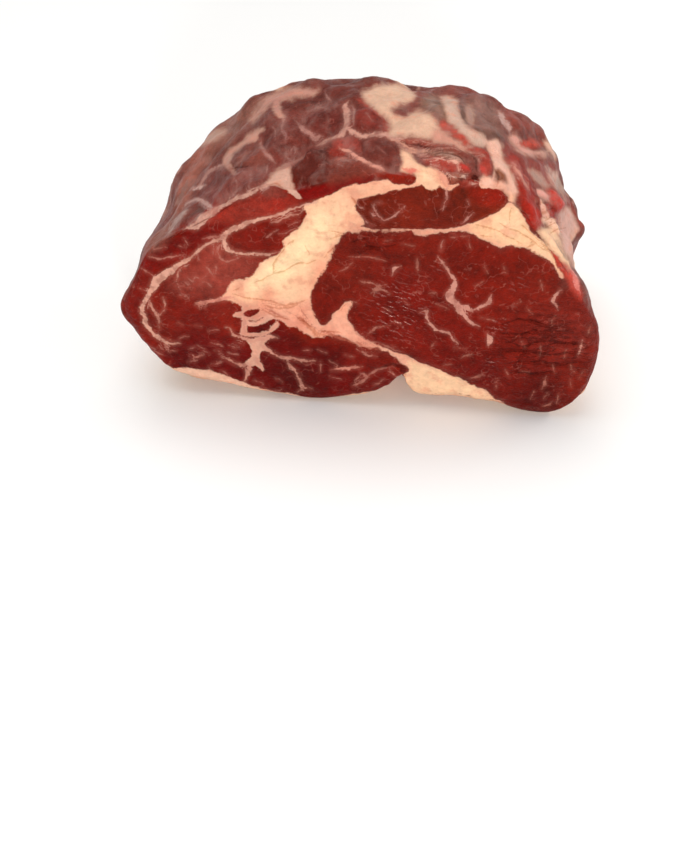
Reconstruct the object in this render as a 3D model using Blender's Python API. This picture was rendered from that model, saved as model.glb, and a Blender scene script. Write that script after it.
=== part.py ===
"""Raw beef rib roast: one boneless piece of the rib, lying with its rib side up.

Frame: metres, +Z up, with the origin under the middle of the roast on the surface that it
rests on. The large cut face looks along -Y and the rounded far end along +Y. The thin end
of the cap muscle points along -X and the eye muscle lies on the +X side.
"""
import bmesh
import bpy
import numpy as np

MM = 0.001

# Driving dimensions
FACE_WIDTH = 237 * MM     # tip of the cap muscle to the edge of the eye
FACE_HEIGHT = 146 * MM    # lowest point of the cut face to its highest
LENGTH = 117 * MM         # cut face to far end

# How finely the solid is faceted: steps across, up and along the roast
ACROSS, UP, ALONG = 38, 24, 22

# Outline of the cut face in millimetres (x, height), clockwise from the lower left.
# Each stretch starts on the last point of the one before it.
CAP_END = [(-106, 17), (-113, 26), (-120, 38), (-126, 60), (-120, 73), (-110, 93), (-97, 105)]
RIB_SIDE = [(-97, 105), (-82, 113), (-67, 126), (-50, 136), (-38, 134), (-23, 140), (0, 146),
            (20, 145), (37, 147), (52, 143), (63, 133)]
EYE_END = [(63, 133), (75, 118), (87, 101), (99, 81), (108, 62), (111, 42), (109, 27), (104, 13)]
BASE_SIDE = [(104, 13), (93, 1), (80, 1.5), (66, 7), (48, 10.5), (22, 11), (17, 19), (15.5, 24),
             (11, 19), (4, 12), (-12, 5), (-30, 1), (-50, 3.5), (-75, 8.5), (-97, 14), (-106, 17)]

# How the section changes from the cut face to the far end
SOFTENING = 9 * MM        # the ragged rim evens out over this distance along the outline
SOFT_BY = 0.22            # share of the length after which the rim is even
CAP_TAPER = 0.07          # the cap side draws in towards the far end
EYE_SWELL = 0.01          # the eye side spreads a little
CREST = 2.4 * MM          # the rib side rises behind the face
CREST_END = 0.8           # share of the length at which that rise is over
CAP_FALL = 2 * MM         # drop of the rib side at the far end, over the cap
EYE_FALL = 17 * MM        # the same over the eye
BASE_SAG = 17 * MM        # the underside settles behind the face until it lies flat
SAG_ZONE = (16 * MM, 52 * MM)    # fully below the first height, not at all above the second
REST_BLEND = 3 * MM       # height over which the sides turn into the resting flat
MIDDLE = (0.0, 62 * MM)   # x and height about which the ends round over
FAR_ROUND = 27 * MM       # depth of the rounding of the far end
FAR_DRAW = 0.30           # share of the section that it takes away
RIM_ROUND = 4 * MM        # the same for the rim of the cut face
RIM_DRAW = 0.014

# Swellings and hollows: x, y, height, reach and outward push, in millimetres
FORMS = [
    (62, -60, 55, 48, 5.0),      # the eye muscle stands proud of the face
    (62, 62, 55, 46, 3.5),       # and of the far end
    (-82, -60, 62, 30, 2.5),     # cap muscle on the face
    (-30, -60, 34, 26, 2.0),     # lower cap muscle
    (22, -60, 116, 24, 1.6),     # small muscle above the eye
    (-24, -60, 84, 17, -2.6),    # kernel of fat between the muscles
    (4, -60, 62, 13, -2.0),      # its tail beside the eye
    (34, -60, 14, 13, -2.2),     # strip of fat under the eye
    (110, -4, 66, 29, -14.0),    # the flank draws in behind the rim of the eye
    (110, 28, 44, 26, -7.0),
    (104, 20, 80, 12, 4.5),      # loose fold on the flank
    (-106, -24, 96, 22, -6.0),   # the cap side draws in behind its rim
    (82, 34, 112, 19, 6.0),      # far shoulder over the eye
    (-22, 36, 142, 22, 3.0),     # ridges and dips where the ribs were cut away
    (-46, 34, 134, 15, 2.0),
    (30, -18, 150, 20, 2.2),
    (-8, 0, 152, 15, 2.2),
    (-42, -24, 142, 15, -2.8),
    (62, 2, 136, 15, -2.8),
    (20, 28, 146, 15, -3.2),
    (-70, 16, 122, 17, 2.2),
    (50, 38, 122, 15, -2.0),
    (84, -6, 108, 13, 2.4),
    (66, 24, 122, 12, 2.0),
]

# Uneven skin of the outside: wavelengths along x, y and height, phase and depth, in millimetres
CRAGS = [
    (41, 67, 53, 0.4, 0.9),
    (-29, 38, 47, 2.1, 0.8),
    (33, -27, 61, 4.0, 0.7),
    (22, 31, -26, 5.2, 0.5),
]

MEAT_COLOUR = (0.125, 0.022, 0.014, 1.0)    # linear, deep red of the cut muscle
MEAT_ROUGHNESS = 0.35


def ease(t, low, high):
    """0 below low, 1 above high, and a smooth S between."""
    t = np.clip((np.asarray(t, dtype=float) - low) / (high - low), 0.0, 1.0)
    return t * t * (3.0 - 2.0 * t)


def arc_lengths(points):
    """Distance along an open run of points, starting at 0."""
    return np.concatenate([[0.0], np.cumsum(np.linalg.norm(np.diff(points, axis=0), axis=1))])


def smooth_stretches(stretches, counts, fineness=24):
    """One closed cubic curve through all the stretches' points, cut back into stretches
    of equal steps, counts of them in each."""
    knots = np.array([p for stretch in stretches for p in stretch[:-1]], dtype=float)
    after = np.roll(knots, -1, axis=0)
    gap = np.linalg.norm(after - knots, axis=1)[:, None]
    gap_before = np.roll(gap, 1, axis=0)
    slope = (after - knots) / gap
    tangent = (slope * gap_before + np.roll(slope, 1, axis=0) * gap) / (gap + gap_before)
    t = np.linspace(0.0, 1.0, fineness, endpoint=False)[None, :, None]
    curve = ((2 * t**3 - 3 * t**2 + 1) * knots[:, None]
             + (t**3 - 2 * t**2 + t) * (tangent * gap)[:, None]
             + (3 * t**2 - 2 * t**3) * after[:, None]
             + (t**3 - t**2) * (np.roll(tangent, -1, axis=0) * gap)[:, None]).reshape(-1, 2)
    curve = np.vstack([curve, curve[:1]])
    runs, start = [], 0
    for stretch, count in zip(stretches, counts):
        stop = start + (len(stretch) - 1) * fineness
        run = curve[start:stop + 1]
        length = arc_lengths(run)
        steps = np.linspace(0.0, length[-1], count + 1)
        runs.append(np.stack([np.interp(steps, length, run[:, axis]) for axis in (0, 1)], axis=1))
        start = stop
    return runs


def face_outline():
    """The cut face's outline in metres, as wide and high as the driving dimensions."""
    runs = smooth_stretches([CAP_END, RIB_SIDE, EYE_END, BASE_SIDE], [UP, ACROSS, UP, ACROSS])
    ring = np.vstack([run[:-1] for run in runs])
    size = ring.max(axis=0) - ring.min(axis=0)
    return (ring - [0.0, ring[:, 1].min()]) * (FACE_WIDTH, FACE_HEIGHT) / size


def evened(ring, reach):
    """The ring smoothed along itself by a Gaussian of that reach."""
    step = np.linalg.norm(np.roll(ring, -1, axis=0) - ring, axis=1).mean()
    waves = np.fft.fftfreq(len(ring))
    keep = np.exp(-2.0 * (np.pi * waves * reach / step) ** 2)
    return np.real(np.fft.ifft(np.fft.fft(ring, axis=0) * keep[:, None], axis=0))


def draw_in(depth, rounding, share):
    """Size of a section at this depth inside an end, for a quarter-round edge."""
    q = np.clip(1.0 - depth / rounding, 0.0, 1.0)
    return 1.0 - share * (1.0 - np.sqrt(1.0 - q * q))


def stations():
    """Places along the length, 0 at the face and 1 at the far end, closer at both ends."""
    angle = np.linspace(0.0, np.pi, ALONG + 1)
    return 0.35 * angle / np.pi + 0.65 * (1.0 - np.cos(angle)) / 2.0


def section(face, even, s):
    """The ring of points a share s of the way from the cut face to the far end."""
    blend = ease(s, 0.0, SOFT_BY)
    ring = face * (1.0 - blend) + even * blend
    x, z = ring[:, 0], ring[:, 1]
    side = ease(x, -90 * MM, 90 * MM)
    taper = np.where(x < 0.0, 1.0 - CAP_TAPER * ease(s, 0.05, 0.95), 1.0 + EYE_SWELL * ease(s, 0.05, 1.0))
    rise = CREST * np.sin(np.pi * min(s / CREST_END, 1.0))
    fall = (CAP_FALL * (1.0 - side) + EYE_FALL * side) * ease(s, 0.3, 1.0)
    height = z + ease(z, 50 * MM, 120 * MM) * (rise - fall)
    height = height - (1.0 - ease(height, *SAG_ZONE)) * BASE_SAG * ease(s, 0.02, 0.25)
    size = (draw_in(s * LENGTH, RIM_ROUND, RIM_DRAW) * draw_in((1.0 - s) * LENGTH, FAR_ROUND, FAR_DRAW))
    x = MIDDLE[0] + (x * taper - MIDDLE[0]) * size
    height = MIDDLE[1] + (height - MIDDLE[1]) * size
    y = np.full(len(x), (s - 0.5) * LENGTH)
    return np.stack([x, y, height], axis=1)


def filled(ring):
    """Points [across, up] inside a ring, blended from its four stretches."""
    corner = np.cumsum([0, UP, ACROSS, UP, ACROSS])
    closed = np.vstack([ring, ring[:1]])
    left, top, right, base = [closed[a:b + 1] for a, b in zip(corner[:-1], corner[1:])]
    right, base = right[::-1], base[::-1]
    u = np.linspace(0.0, 1.0, ACROSS + 1)[:, None, None]
    v = np.linspace(0.0, 1.0, UP + 1)[None, :, None]
    corners = ((1 - u) * (1 - v) * left[0] + (1 - u) * v * left[-1]
               + u * (1 - v) * right[0] + u * v * right[-1])
    return ((1 - u) * left[None] + u * right[None] + (1 - v) * base[:, None] + v * top[:, None] - corners)


def block():
    """A box cut into ACROSS by ALONG by UP steps, each corner at whole numbers."""
    bm = bmesh.new()
    bmesh.ops.create_cube(bm, size=1.0)
    for axis, steps in enumerate((ACROSS, ALONG, UP)):
        run = [e for e in bm.edges if abs(e.verts[0].co[axis] - e.verts[1].co[axis]) > 0.5]
        bmesh.ops.subdivide_edges(bm, edges=run, cuts=steps - 1, use_grid_fill=True)
    bmesh.ops.translate(bm, verts=bm.verts, vec=(0.5, 0.5, 0.5))
    bmesh.ops.scale(bm, verts=bm.verts, vec=(ACROSS, ALONG, UP))
    return bm


def ring_place(i, j):
    """Where the block's edge point (i, j) lies on a ring that starts at the lower left."""
    if i == 0:
        return j
    if j == UP:
        return UP + i
    if i == ACROSS:
        return UP + ACROSS + (UP - j)
    return UP + ACROSS + UP + (ACROSS - i)


def settle(bm):
    """Lay everything that would hang below the surface flat on it, with a soft turn."""
    for vert in bm.verts:
        z = vert.co.z
        if z < REST_BLEND:
            vert.co.z = max(z + REST_BLEND, 0.0) ** 2 / (4.0 * REST_BLEND)


def crags(place, along_y):
    """Outward push of the uneven skin, which the cut faces (along_y near 1) don't have."""
    waves = np.array(CRAGS)
    turns = (place[:, None, :] / (waves[None, :, :3] * MM)).sum(axis=2)
    push = (waves[:, 4] * MM * np.sin(2.0 * np.pi * turns + waves[:, 3])).sum(axis=1)
    return push * (1.0 - ease(along_y, 0.25, 0.75))


def swell(bm):
    """Push the skin out or in round each of the forms, less towards the resting side."""
    bm.normal_update()
    place = np.array([vert.co for vert in bm.verts])
    along_y = np.abs([vert.normal.y for vert in bm.verts])
    centres = np.array([form[:3] for form in FORMS]) * MM
    reach = np.array([form[3] for form in FORMS]) * MM
    push = np.array([form[4] for form in FORMS]) * MM
    far = np.linalg.norm(place[:, None] - centres[None], axis=2) / reach
    amount = (push * np.exp(-far * far)).sum(axis=1) + crags(place, along_y)
    amount = amount * ease(place[:, 2], 0.0, 20 * MM)
    for vert, move in zip(bm.verts, amount):
        vert.co += vert.normal * move


def centre(bm):
    """Move the roast over the origin, standing on the surface."""
    place = np.array([vert.co for vert in bm.verts])
    low, high = place.min(axis=0), place.max(axis=0)
    middle = (low + high) / 2.0
    bmesh.ops.translate(bm, verts=bm.verts, vec=(-middle[0], -middle[1], -low[2]))


def meat():
    material = bpy.data.materials.new("raw_beef")
    material.use_nodes = True
    shader = material.node_tree.nodes["Principled BSDF"]
    shader.inputs["Base Color"].default_value = MEAT_COLOUR
    shader.inputs["Roughness"].default_value = MEAT_ROUGHNESS
    shader.inputs["Metallic"].default_value = 0.0
    return material


def carved():
    """The roast's skin: a block whose corners are carried onto the sections."""
    face = face_outline()
    even = evened(face, SOFTENING)
    rings = [section(face, even, s) for s in stations()]
    front, back = filled(rings[0]), filled(rings[-1])
    bm = block()
    for vert in bm.verts:
        i, k, j = (round(c) for c in vert.co)
        if i in (0, ACROSS) or j in (0, UP):
            vert.co = rings[k][ring_place(i, j) % len(face)]
        else:
            vert.co = (front if k == 0 else back)[i, j]
    swell(bm)
    settle(bm)
    return bm


def rib_roast():
    """The whole roast as one closed solid."""
    bm = carved()
    centre(bm)
    bmesh.ops.triangulate(bm, faces=bm.faces, quad_method="SHORT_EDGE")
    mesh = bpy.data.meshes.new("rib_roast")
    bm.to_mesh(mesh)
    bm.free()
    mesh.shade_smooth()
    mesh.materials.append(meat())
    roast = bpy.data.objects.new("rib_roast", mesh)
    bpy.context.scene.collection.objects.link(roast)
    return roast


for old in list(bpy.data.objects):
    bpy.data.objects.remove(old, do_unlink=True)
rib_roast()
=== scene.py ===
"""Raw beef rib roast: the finished look of the one-piece roast, its view and its light.

The roast's skin is worked out with numpy from the same outline and sizes as the solid that
it replaces. The drawing of muscle, fat and marbling is a list of named patches and seams
in pixels of the photograph, laid on the skin along the camera's own lines of sight, and
carried round the hidden sides by rules.
"""
from itertools import product

import bpy
import numpy as np
from mathutils import Matrix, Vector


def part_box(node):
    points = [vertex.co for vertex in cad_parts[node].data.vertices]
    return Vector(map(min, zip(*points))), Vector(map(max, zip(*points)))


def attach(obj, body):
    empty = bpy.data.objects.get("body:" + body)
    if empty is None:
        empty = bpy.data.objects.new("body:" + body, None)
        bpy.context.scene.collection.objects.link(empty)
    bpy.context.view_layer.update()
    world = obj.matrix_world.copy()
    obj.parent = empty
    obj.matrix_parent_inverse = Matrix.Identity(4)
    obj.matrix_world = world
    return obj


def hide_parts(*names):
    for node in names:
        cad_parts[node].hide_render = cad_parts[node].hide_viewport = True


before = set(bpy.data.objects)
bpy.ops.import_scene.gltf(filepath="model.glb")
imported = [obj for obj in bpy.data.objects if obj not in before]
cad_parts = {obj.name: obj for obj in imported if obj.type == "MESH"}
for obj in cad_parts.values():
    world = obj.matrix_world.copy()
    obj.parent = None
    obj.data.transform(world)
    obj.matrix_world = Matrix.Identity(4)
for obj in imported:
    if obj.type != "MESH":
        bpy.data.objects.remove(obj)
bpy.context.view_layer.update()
MM = 0.001
NODE = "rib_roast"

# The photograph's frame and view
PHOTO_WIDTH, PHOTO_HEIGHT = 700, 841
FOCAL_PX = 1313.0                    # focal length in pixels
SENSOR = 36.0                        # millimetres on the frame's long side
LOOK_DOWN = np.radians(45.0)         # slope of the line of sight
LOOK_FROM_RIGHT = np.radians(5.0)
ANCHOR = np.array([7.8, -56.7, 0.0]) * MM    # the point of the roast that is seen at ANCHOR_PX
ANCHOR_PX = np.array([372.0, 404.0])
PX_PER_M = 1900.0                    # scale at that point
PX_PER_MM = PX_PER_M / 1000.0

# Sizes of the roast, as in its solid
FACE_WIDTH = 237 * MM
FACE_HEIGHT = 146 * MM
LENGTH = 117 * MM

# Fineness of the skin: steps across and up the cut face, rows along the roast and rows from
# the far end's edge to its middle. Of the face's edge, the roast's rib side takes every
# point, its two flanks every second and its underside every fourth.
ACROSS, UP, ROWS, FAR_ROWS = 272, 152, 90, 12

# Outline of the cut face in millimetres (x, height), clockwise from the lower left.
# Each stretch starts on the last point of the one before it.
CAP_END = [(-106, 17), (-113, 26), (-120, 38), (-126, 60), (-120, 73), (-110, 93), (-97, 105)]
RIB_SIDE = [(-97, 105), (-82, 113), (-67, 126), (-50, 136), (-38, 134), (-23, 140), (0, 146),
            (20, 145), (37, 147), (52, 143), (63, 133)]
EYE_END = [(63, 133), (75, 118), (87, 101), (99, 81), (108, 62), (111, 42), (109, 27), (104, 13)]
BASE_SIDE = [(104, 13), (93, 1), (80, 1.5), (66, 7), (48, 10.5), (22, 11), (17, 19), (15.5, 24),
             (11, 19), (4, 12), (-12, 5), (-30, 1), (-50, 3.5), (-75, 8.5), (-97, 14), (-106, 17)]

# How the section changes from the cut face to the far end
SOFTENING = 9 * MM
SOFT_BY = 0.22
CAP_TAPER = 0.07
EYE_SWELL = 0.01
CREST = 2.4 * MM
CREST_END = 0.8
CAP_FALL = 2 * MM
EYE_FALL = 17 * MM
BASE_SAG = 17 * MM
SAG_ZONE = (16 * MM, 52 * MM)
REST_BLEND = 3 * MM
MIDDLE = (0.0, 62 * MM)
FAR_ROUND = 27 * MM
FAR_DRAW = 0.30
RIM_ROUND = 4 * MM
RIM_DRAW = 0.014
RIM_BEND = 1.6 * MM                  # the rim of the cut face bends back by this much,
RIM_BEND_REACH = 6.0 * MM            # falling off over this length of the sides
RIM_BEND_INWARD = 1.3 * MM           # and of the face
FAT_CAP_HEIGHT = 24.0                # top of the fat on the hidden sides, in millimetres

# Swellings and hollows: x, y, height, reach and outward push, in millimetres
FORMS = [
    (62, -60, 55, 48, 5.0),      # the eye muscle stands proud of the face
    (62, 62, 55, 46, 3.5),       # and of the far end
    (-82, -60, 62, 30, 2.5),     # cap muscle on the face
    (-30, -60, 34, 26, 2.0),     # lower cap muscle
    (22, -60, 116, 24, 1.6),     # small muscle above the eye
    (-24, -60, 84, 17, -2.6),    # kernel of fat between the muscles
    (4, -60, 62, 13, -2.0),      # its tail beside the eye
    (34, -60, 14, 13, -2.2),     # strip of fat under the eye
    (110, -4, 66, 29, -14.0),    # the flank draws in behind the rim of the eye
    (110, 28, 44, 26, -7.0),
    (112, 30, 56, 8, 7.0),       # loose fold on the flank
    (88, 35, 109, 12, 5.0),      # shoulder above it, and the hollows round both
    (104, 42, 76, 13, -3.5),
    (109, -35, 77, 12, -3.0),
    (114, 36, 36, 9, -2.0),
    (8, 44, 137, 17, -4.0),      # dips and swelling of the far edge
    (-28, 41, 134, 10, -2.0),
    (-70, 42, 109, 14, 4.0),
    (-106, -24, 96, 22, -6.0),   # the cap side draws in behind its rim
    (82, 34, 112, 19, 6.0),      # far shoulder over the eye
    (-22, 36, 142, 22, 3.0),     # ridges and dips where the ribs were cut away
    (-46, 34, 134, 15, 2.0),
    (30, -18, 150, 20, 2.2),
    (-8, 0, 152, 15, 2.2),
    (-42, -24, 142, 15, -2.8),
    (62, 2, 136, 15, -2.8),
    (20, 28, 146, 15, -3.2),
    (-70, 16, 122, 17, 2.2),
    (50, 38, 122, 15, -2.0),
    (84, -6, 108, 13, 2.4),
    (66, 24, 122, 12, 2.0),
]

# Uneven skin of the outside: wavelengths along x, y and height, phase and depth, in millimetres
CRAGS = [
    (41, 67, 53, 0.4, 0.9),
    (-29, 38, 47, 2.1, 0.8),
    (33, -27, 61, 4.0, 0.7),
    (22, 31, -26, 5.2, 0.5),
]

# What the photograph shows of muscle and fat, in its pixels, painted in this order. A patch
# has an outline of (x, y) and a streak has a path of (x, y, width). Each has its tissue,
# colour, softness in pixels and how far it stands out of the skin in millimetres.
LEAN, FAT = "lean", "fat"
DRAWING = {
    # the cut face, muscle by muscle
    "cap muscle": (LEAN, "731e15", 3, 0.0, [
        (115, 300), (150, 245), (205, 215), (250, 190), (290, 180), (330, 190), (320, 205),
        (300, 240), (270, 290), (330, 335), (400, 362), (400, 405), (300, 408), (160, 380)]),
    # a paler lobe of the cap muscle, partly painted light on the face's left middle
    "cap muscle's lobe with painted light": (LEAN, "8c3c33", 9, 0.2, [
        (196, 262), (215, 240), (250, 258), (262, 262), (250, 280), (232, 290), (205, 297),
        (172, 292), (172, 276)]),
    "cap muscle's dark outer strip": (LEAN, "70170f", 6, 0.0, [
        (150, 250), (175, 236), (200, 226), (232, 221), (226, 229), (205, 243), (180, 258),
        (160, 268), (140, 285), (132, 292), (139, 268)]),
    "cap muscle's red upper strip": (LEAN, "8e3229", 5, 0.2, [
        (206, 221), (222, 210), (250, 198), (270, 190), (292, 199), (300, 202), (275, 213),
        (250, 218), (232, 223)]),
    "cap muscle's tip": (LEAN, "721c16", 5, 0.0, [
        (122, 300), (133, 284), (145, 272), (150, 282), (143, 300), (142, 318), (150, 336),
        (165, 345), (172, 368), (150, 350), (132, 324)]),
    # the lower cap muscle, its dark red partly painted shade low on the face
    "lower cap muscle and painted shade": (LEAN, "5e100b", 10, 0.2, [
        (168, 350), (190, 335), (235, 335), (250, 345), (300, 345), (340, 345), (385, 365),
        (390, 388), (340, 397), (290, 396), (240, 382), (200, 372), (172, 368)]),
    "oval lobe": (LEAN, "701c13", 3, 0.5, [
        (232, 228), (248, 223), (270, 220), (286, 222), (296, 222), (290, 232), (282, 240),
        (278, 250), (260, 252), (240, 250), (229, 245), (228, 236)]),
    "lobe under the kernel": (LEAN, "5f140d", 5, 0.4, [
        (247, 322), (255, 320), (268, 321), (280, 325), (292, 333), (302, 341), (312, 350),
        (330, 358), (300, 356), (282, 353), (268, 347), (258, 338), (248, 334)]),
    "kernel of fat": (FAT, "f4b591", 4, -0.4, [
        (222, 299), (229, 290), (231, 282), (245, 279), (252, 275), (258, 268), (262, 262),
        (272, 257), (279, 253), (284, 246), (283, 240), (290, 234), (298, 228), (303, 221),
        (306, 213), (303, 206), (322, 199), (347, 187), (358, 197), (356, 208), (364, 222),
        (358, 229), (350, 231), (343, 236), (333, 252), (324, 272), (312, 290), (311, 304),
        (316, 318), (308, 328), (290, 320), (270, 311), (245, 306)]),
    "seam over the small muscle": (FAT, "f2b290", 3, -0.3, [
        (318, 201), (335, 192), (347, 186), (365, 183), (385, 180), (397, 184), (412, 184),
        (417, 178), (418, 170), (432, 168), (444, 176), (452, 183), (480, 183), (505, 186),
        (514, 192), (511, 202), (490, 192), (440, 192), (400, 196), (362, 204), (340, 210)]),
    "seam between small muscle and eye": (FAT, "e3a184", 3, -0.3, [
        (350, 222), (366, 228), (385, 230), (400, 229), (440, 229), (452, 228), (470, 223),
        (488, 216), (500, 210), (508, 203), (514, 206), (522, 215), (531, 231), (548, 245),
        (558, 258), (566, 276), (560, 277), (556, 268), (550, 261), (543, 255), (535, 252),
        (524, 248), (512, 245), (506, 247), (500, 249), (490, 243), (480, 237), (470, 233),
        (455, 231), (440, 232), (424, 235), (414, 233), (408, 231), (375, 232), (350, 232)]),
    "wedge of fat beside the eye": (FAT, "f3bf95", 5, -0.2, [
        (470, 224), (490, 216), (507, 208), (516, 208), (524, 218), (531, 231), (545, 243),
        (556, 256), (563, 272), (550, 260), (530, 249), (508, 245), (490, 240), (474, 233)]),
    "tail of fat under the eye": (FAT, "e9a68a", 3, -0.4, [
        (310, 302), (317, 321), (323, 326), (330, 322), (333, 315), (340, 308), (349, 301),
        (353, 304), (348, 312), (347, 318), (350, 324), (357, 331), (366, 338), (380, 346),
        (394, 352), (408, 357), (424, 363), (440, 370), (456, 377), (472, 384), (486, 391),
        (505, 404), (490, 399), (470, 396), (445, 394), (425, 394), (413, 391), (407, 386),
        (404, 377), (409, 371), (400, 362), (392, 356), (384, 351), (374, 348), (362, 346),
        (343, 338), (330, 336), (318, 338), (306, 334), (290, 322), (276, 314), (262, 310), (262, 302)]),
    "strip of fat under the eye": (FAT, "f1c39c", 4, -0.2, [
        (408, 362), (424, 365), (440, 372), (458, 380), (474, 387), (488, 394), (498, 401),
        (480, 398), (450, 395), (425, 394), (412, 391), (407, 384), (405, 377), (410, 371)]),
    "spur of fat into the cap": (FAT, "d58f78", 3, -0.2, [
        (234, 300), (250, 303), (262, 306), (274, 311), (286, 318), (298, 326), (290, 328),
        (280, 322), (268, 318), (256, 319), (248, 320), (247, 326), (246, 333), (240, 332),
        (240, 324), (242, 318), (233, 315), (235, 311), (243, 309)]),
    "island in the spur": (LEAN, "6e1a13", 1, 0.3, [
        (244, 312), (250, 310), (259, 309), (256, 314), (249, 317), (242, 315)]),
    "upper bridge of the spur": (FAT, "db9f88", 1.5, 0.0, [
        (240, 317), (247, 321), (256, 321), (264, 318), (271, 314), (277, 317), (270, 321),
        (263, 324), (254, 325.5), (244, 325)]),
    "lower bridge of the spur": (FAT, "d4937d", 1.5, 0.0, [
        (240, 331), (249, 332), (258, 332), (266, 330), (272, 326), (277, 321), (279, 324),
        (274, 330), (266, 334), (256, 336), (246, 335.5), (240, 335)]),
    "column of fat in the cap": (FAT, "dca28a", 2, -0.2, [
        (247, 340), (253, 338), (262, 335), (272, 335), (266, 339), (265, 344), (270, 350),
        (264, 350), (260, 355), (260, 360), (263, 365), (263, 371), (257, 367), (250, 366),
        (246, 362), (250, 357), (252, 351), (251, 345)]),
    "edge of fat under the cap": (FAT, "e8b79c", 2, 0.3, [
        (166, 368), (178, 367), (192, 368), (212, 371), (230, 376), (245, 382), (262, 389),
        (285, 393), (303, 397), (318, 401), (290, 404), (255, 398), (230, 388), (205, 380),
        (185, 376), (170, 372)]),
    "edge of fat beside the notch": (FAT, "dfae90", 1.5, 0.3, [
        (332, 399), (345, 396), (358, 394), (372, 392), (385, 388), (392, 382), (398, 380),
        (396, 388), (385, 394), (365, 399), (345, 402)]),
    "eye muscle": (LEAN, "721d15", 6, 0.6, [
        (343, 236), (350, 232), (370, 232), (395, 231), (410, 232), (422, 236), (440, 233),
        (457, 232), (470, 234), (480, 238), (490, 243), (500, 250), (507, 248), (514, 246),
        (526, 249), (538, 254), (548, 260), (556, 269), (560, 280), (559, 290), (574, 286),
        (584, 298), (597, 318), (603, 340), (602, 362), (592, 386), (570, 412), (545, 422),
        (515, 410), (503, 402), (487, 391), (470, 382), (455, 375), (438, 368), (420, 360),
        (405, 355), (392, 350), (378, 344), (366, 337), (356, 330), (350, 323), (347, 316),
        (349, 309), (354, 303), (349, 300), (340, 307), (332, 315), (329, 321), (322, 325),
        (317, 320), (313, 311), (311, 302), (312, 292), (318, 281), (325, 270), (331, 256),
        (336, 246)]),
    "small muscle over the eye": (LEAN, "6c2419", 3, 0.6, [
        (356, 203), (360, 199), (372, 196), (385, 193), (400, 189), (420, 186), (436, 185),
        (443, 188), (450, 190), (457, 185), (475, 184), (495, 186), (503, 190), (509, 197),
        (506, 204), (500, 210), (485, 217), (470, 222), (452, 227), (440, 228), (420, 229),
        (400, 229), (385, 229), (372, 226), (364, 219), (357, 211)]),
    "red end of the small muscle": (LEAN, "7c2118", 5, 0.0, [
        (470, 188), (494, 188), (504, 193), (505, 201), (492, 205), (476, 202)]),
    "dark strip along the rim": (LEAN, "74140f", 2, 0.5, [
        (296, 190), (303, 187), (318, 184), (330, 181), (340, 177), (352, 173), (362, 171),
        (372, 173), (372, 180), (358, 184), (345, 187), (335, 191), (322, 198), (310, 199),
        (299, 198)]),
    "end of the dark strip": (LEAN, "82231a", 2, 0.5, [
        (370, 172), (380, 173), (392, 173), (402, 171), (411, 172), (417, 177), (415, 182),
        (407, 184), (397, 183), (388, 180), (378, 177)]),
}

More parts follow.
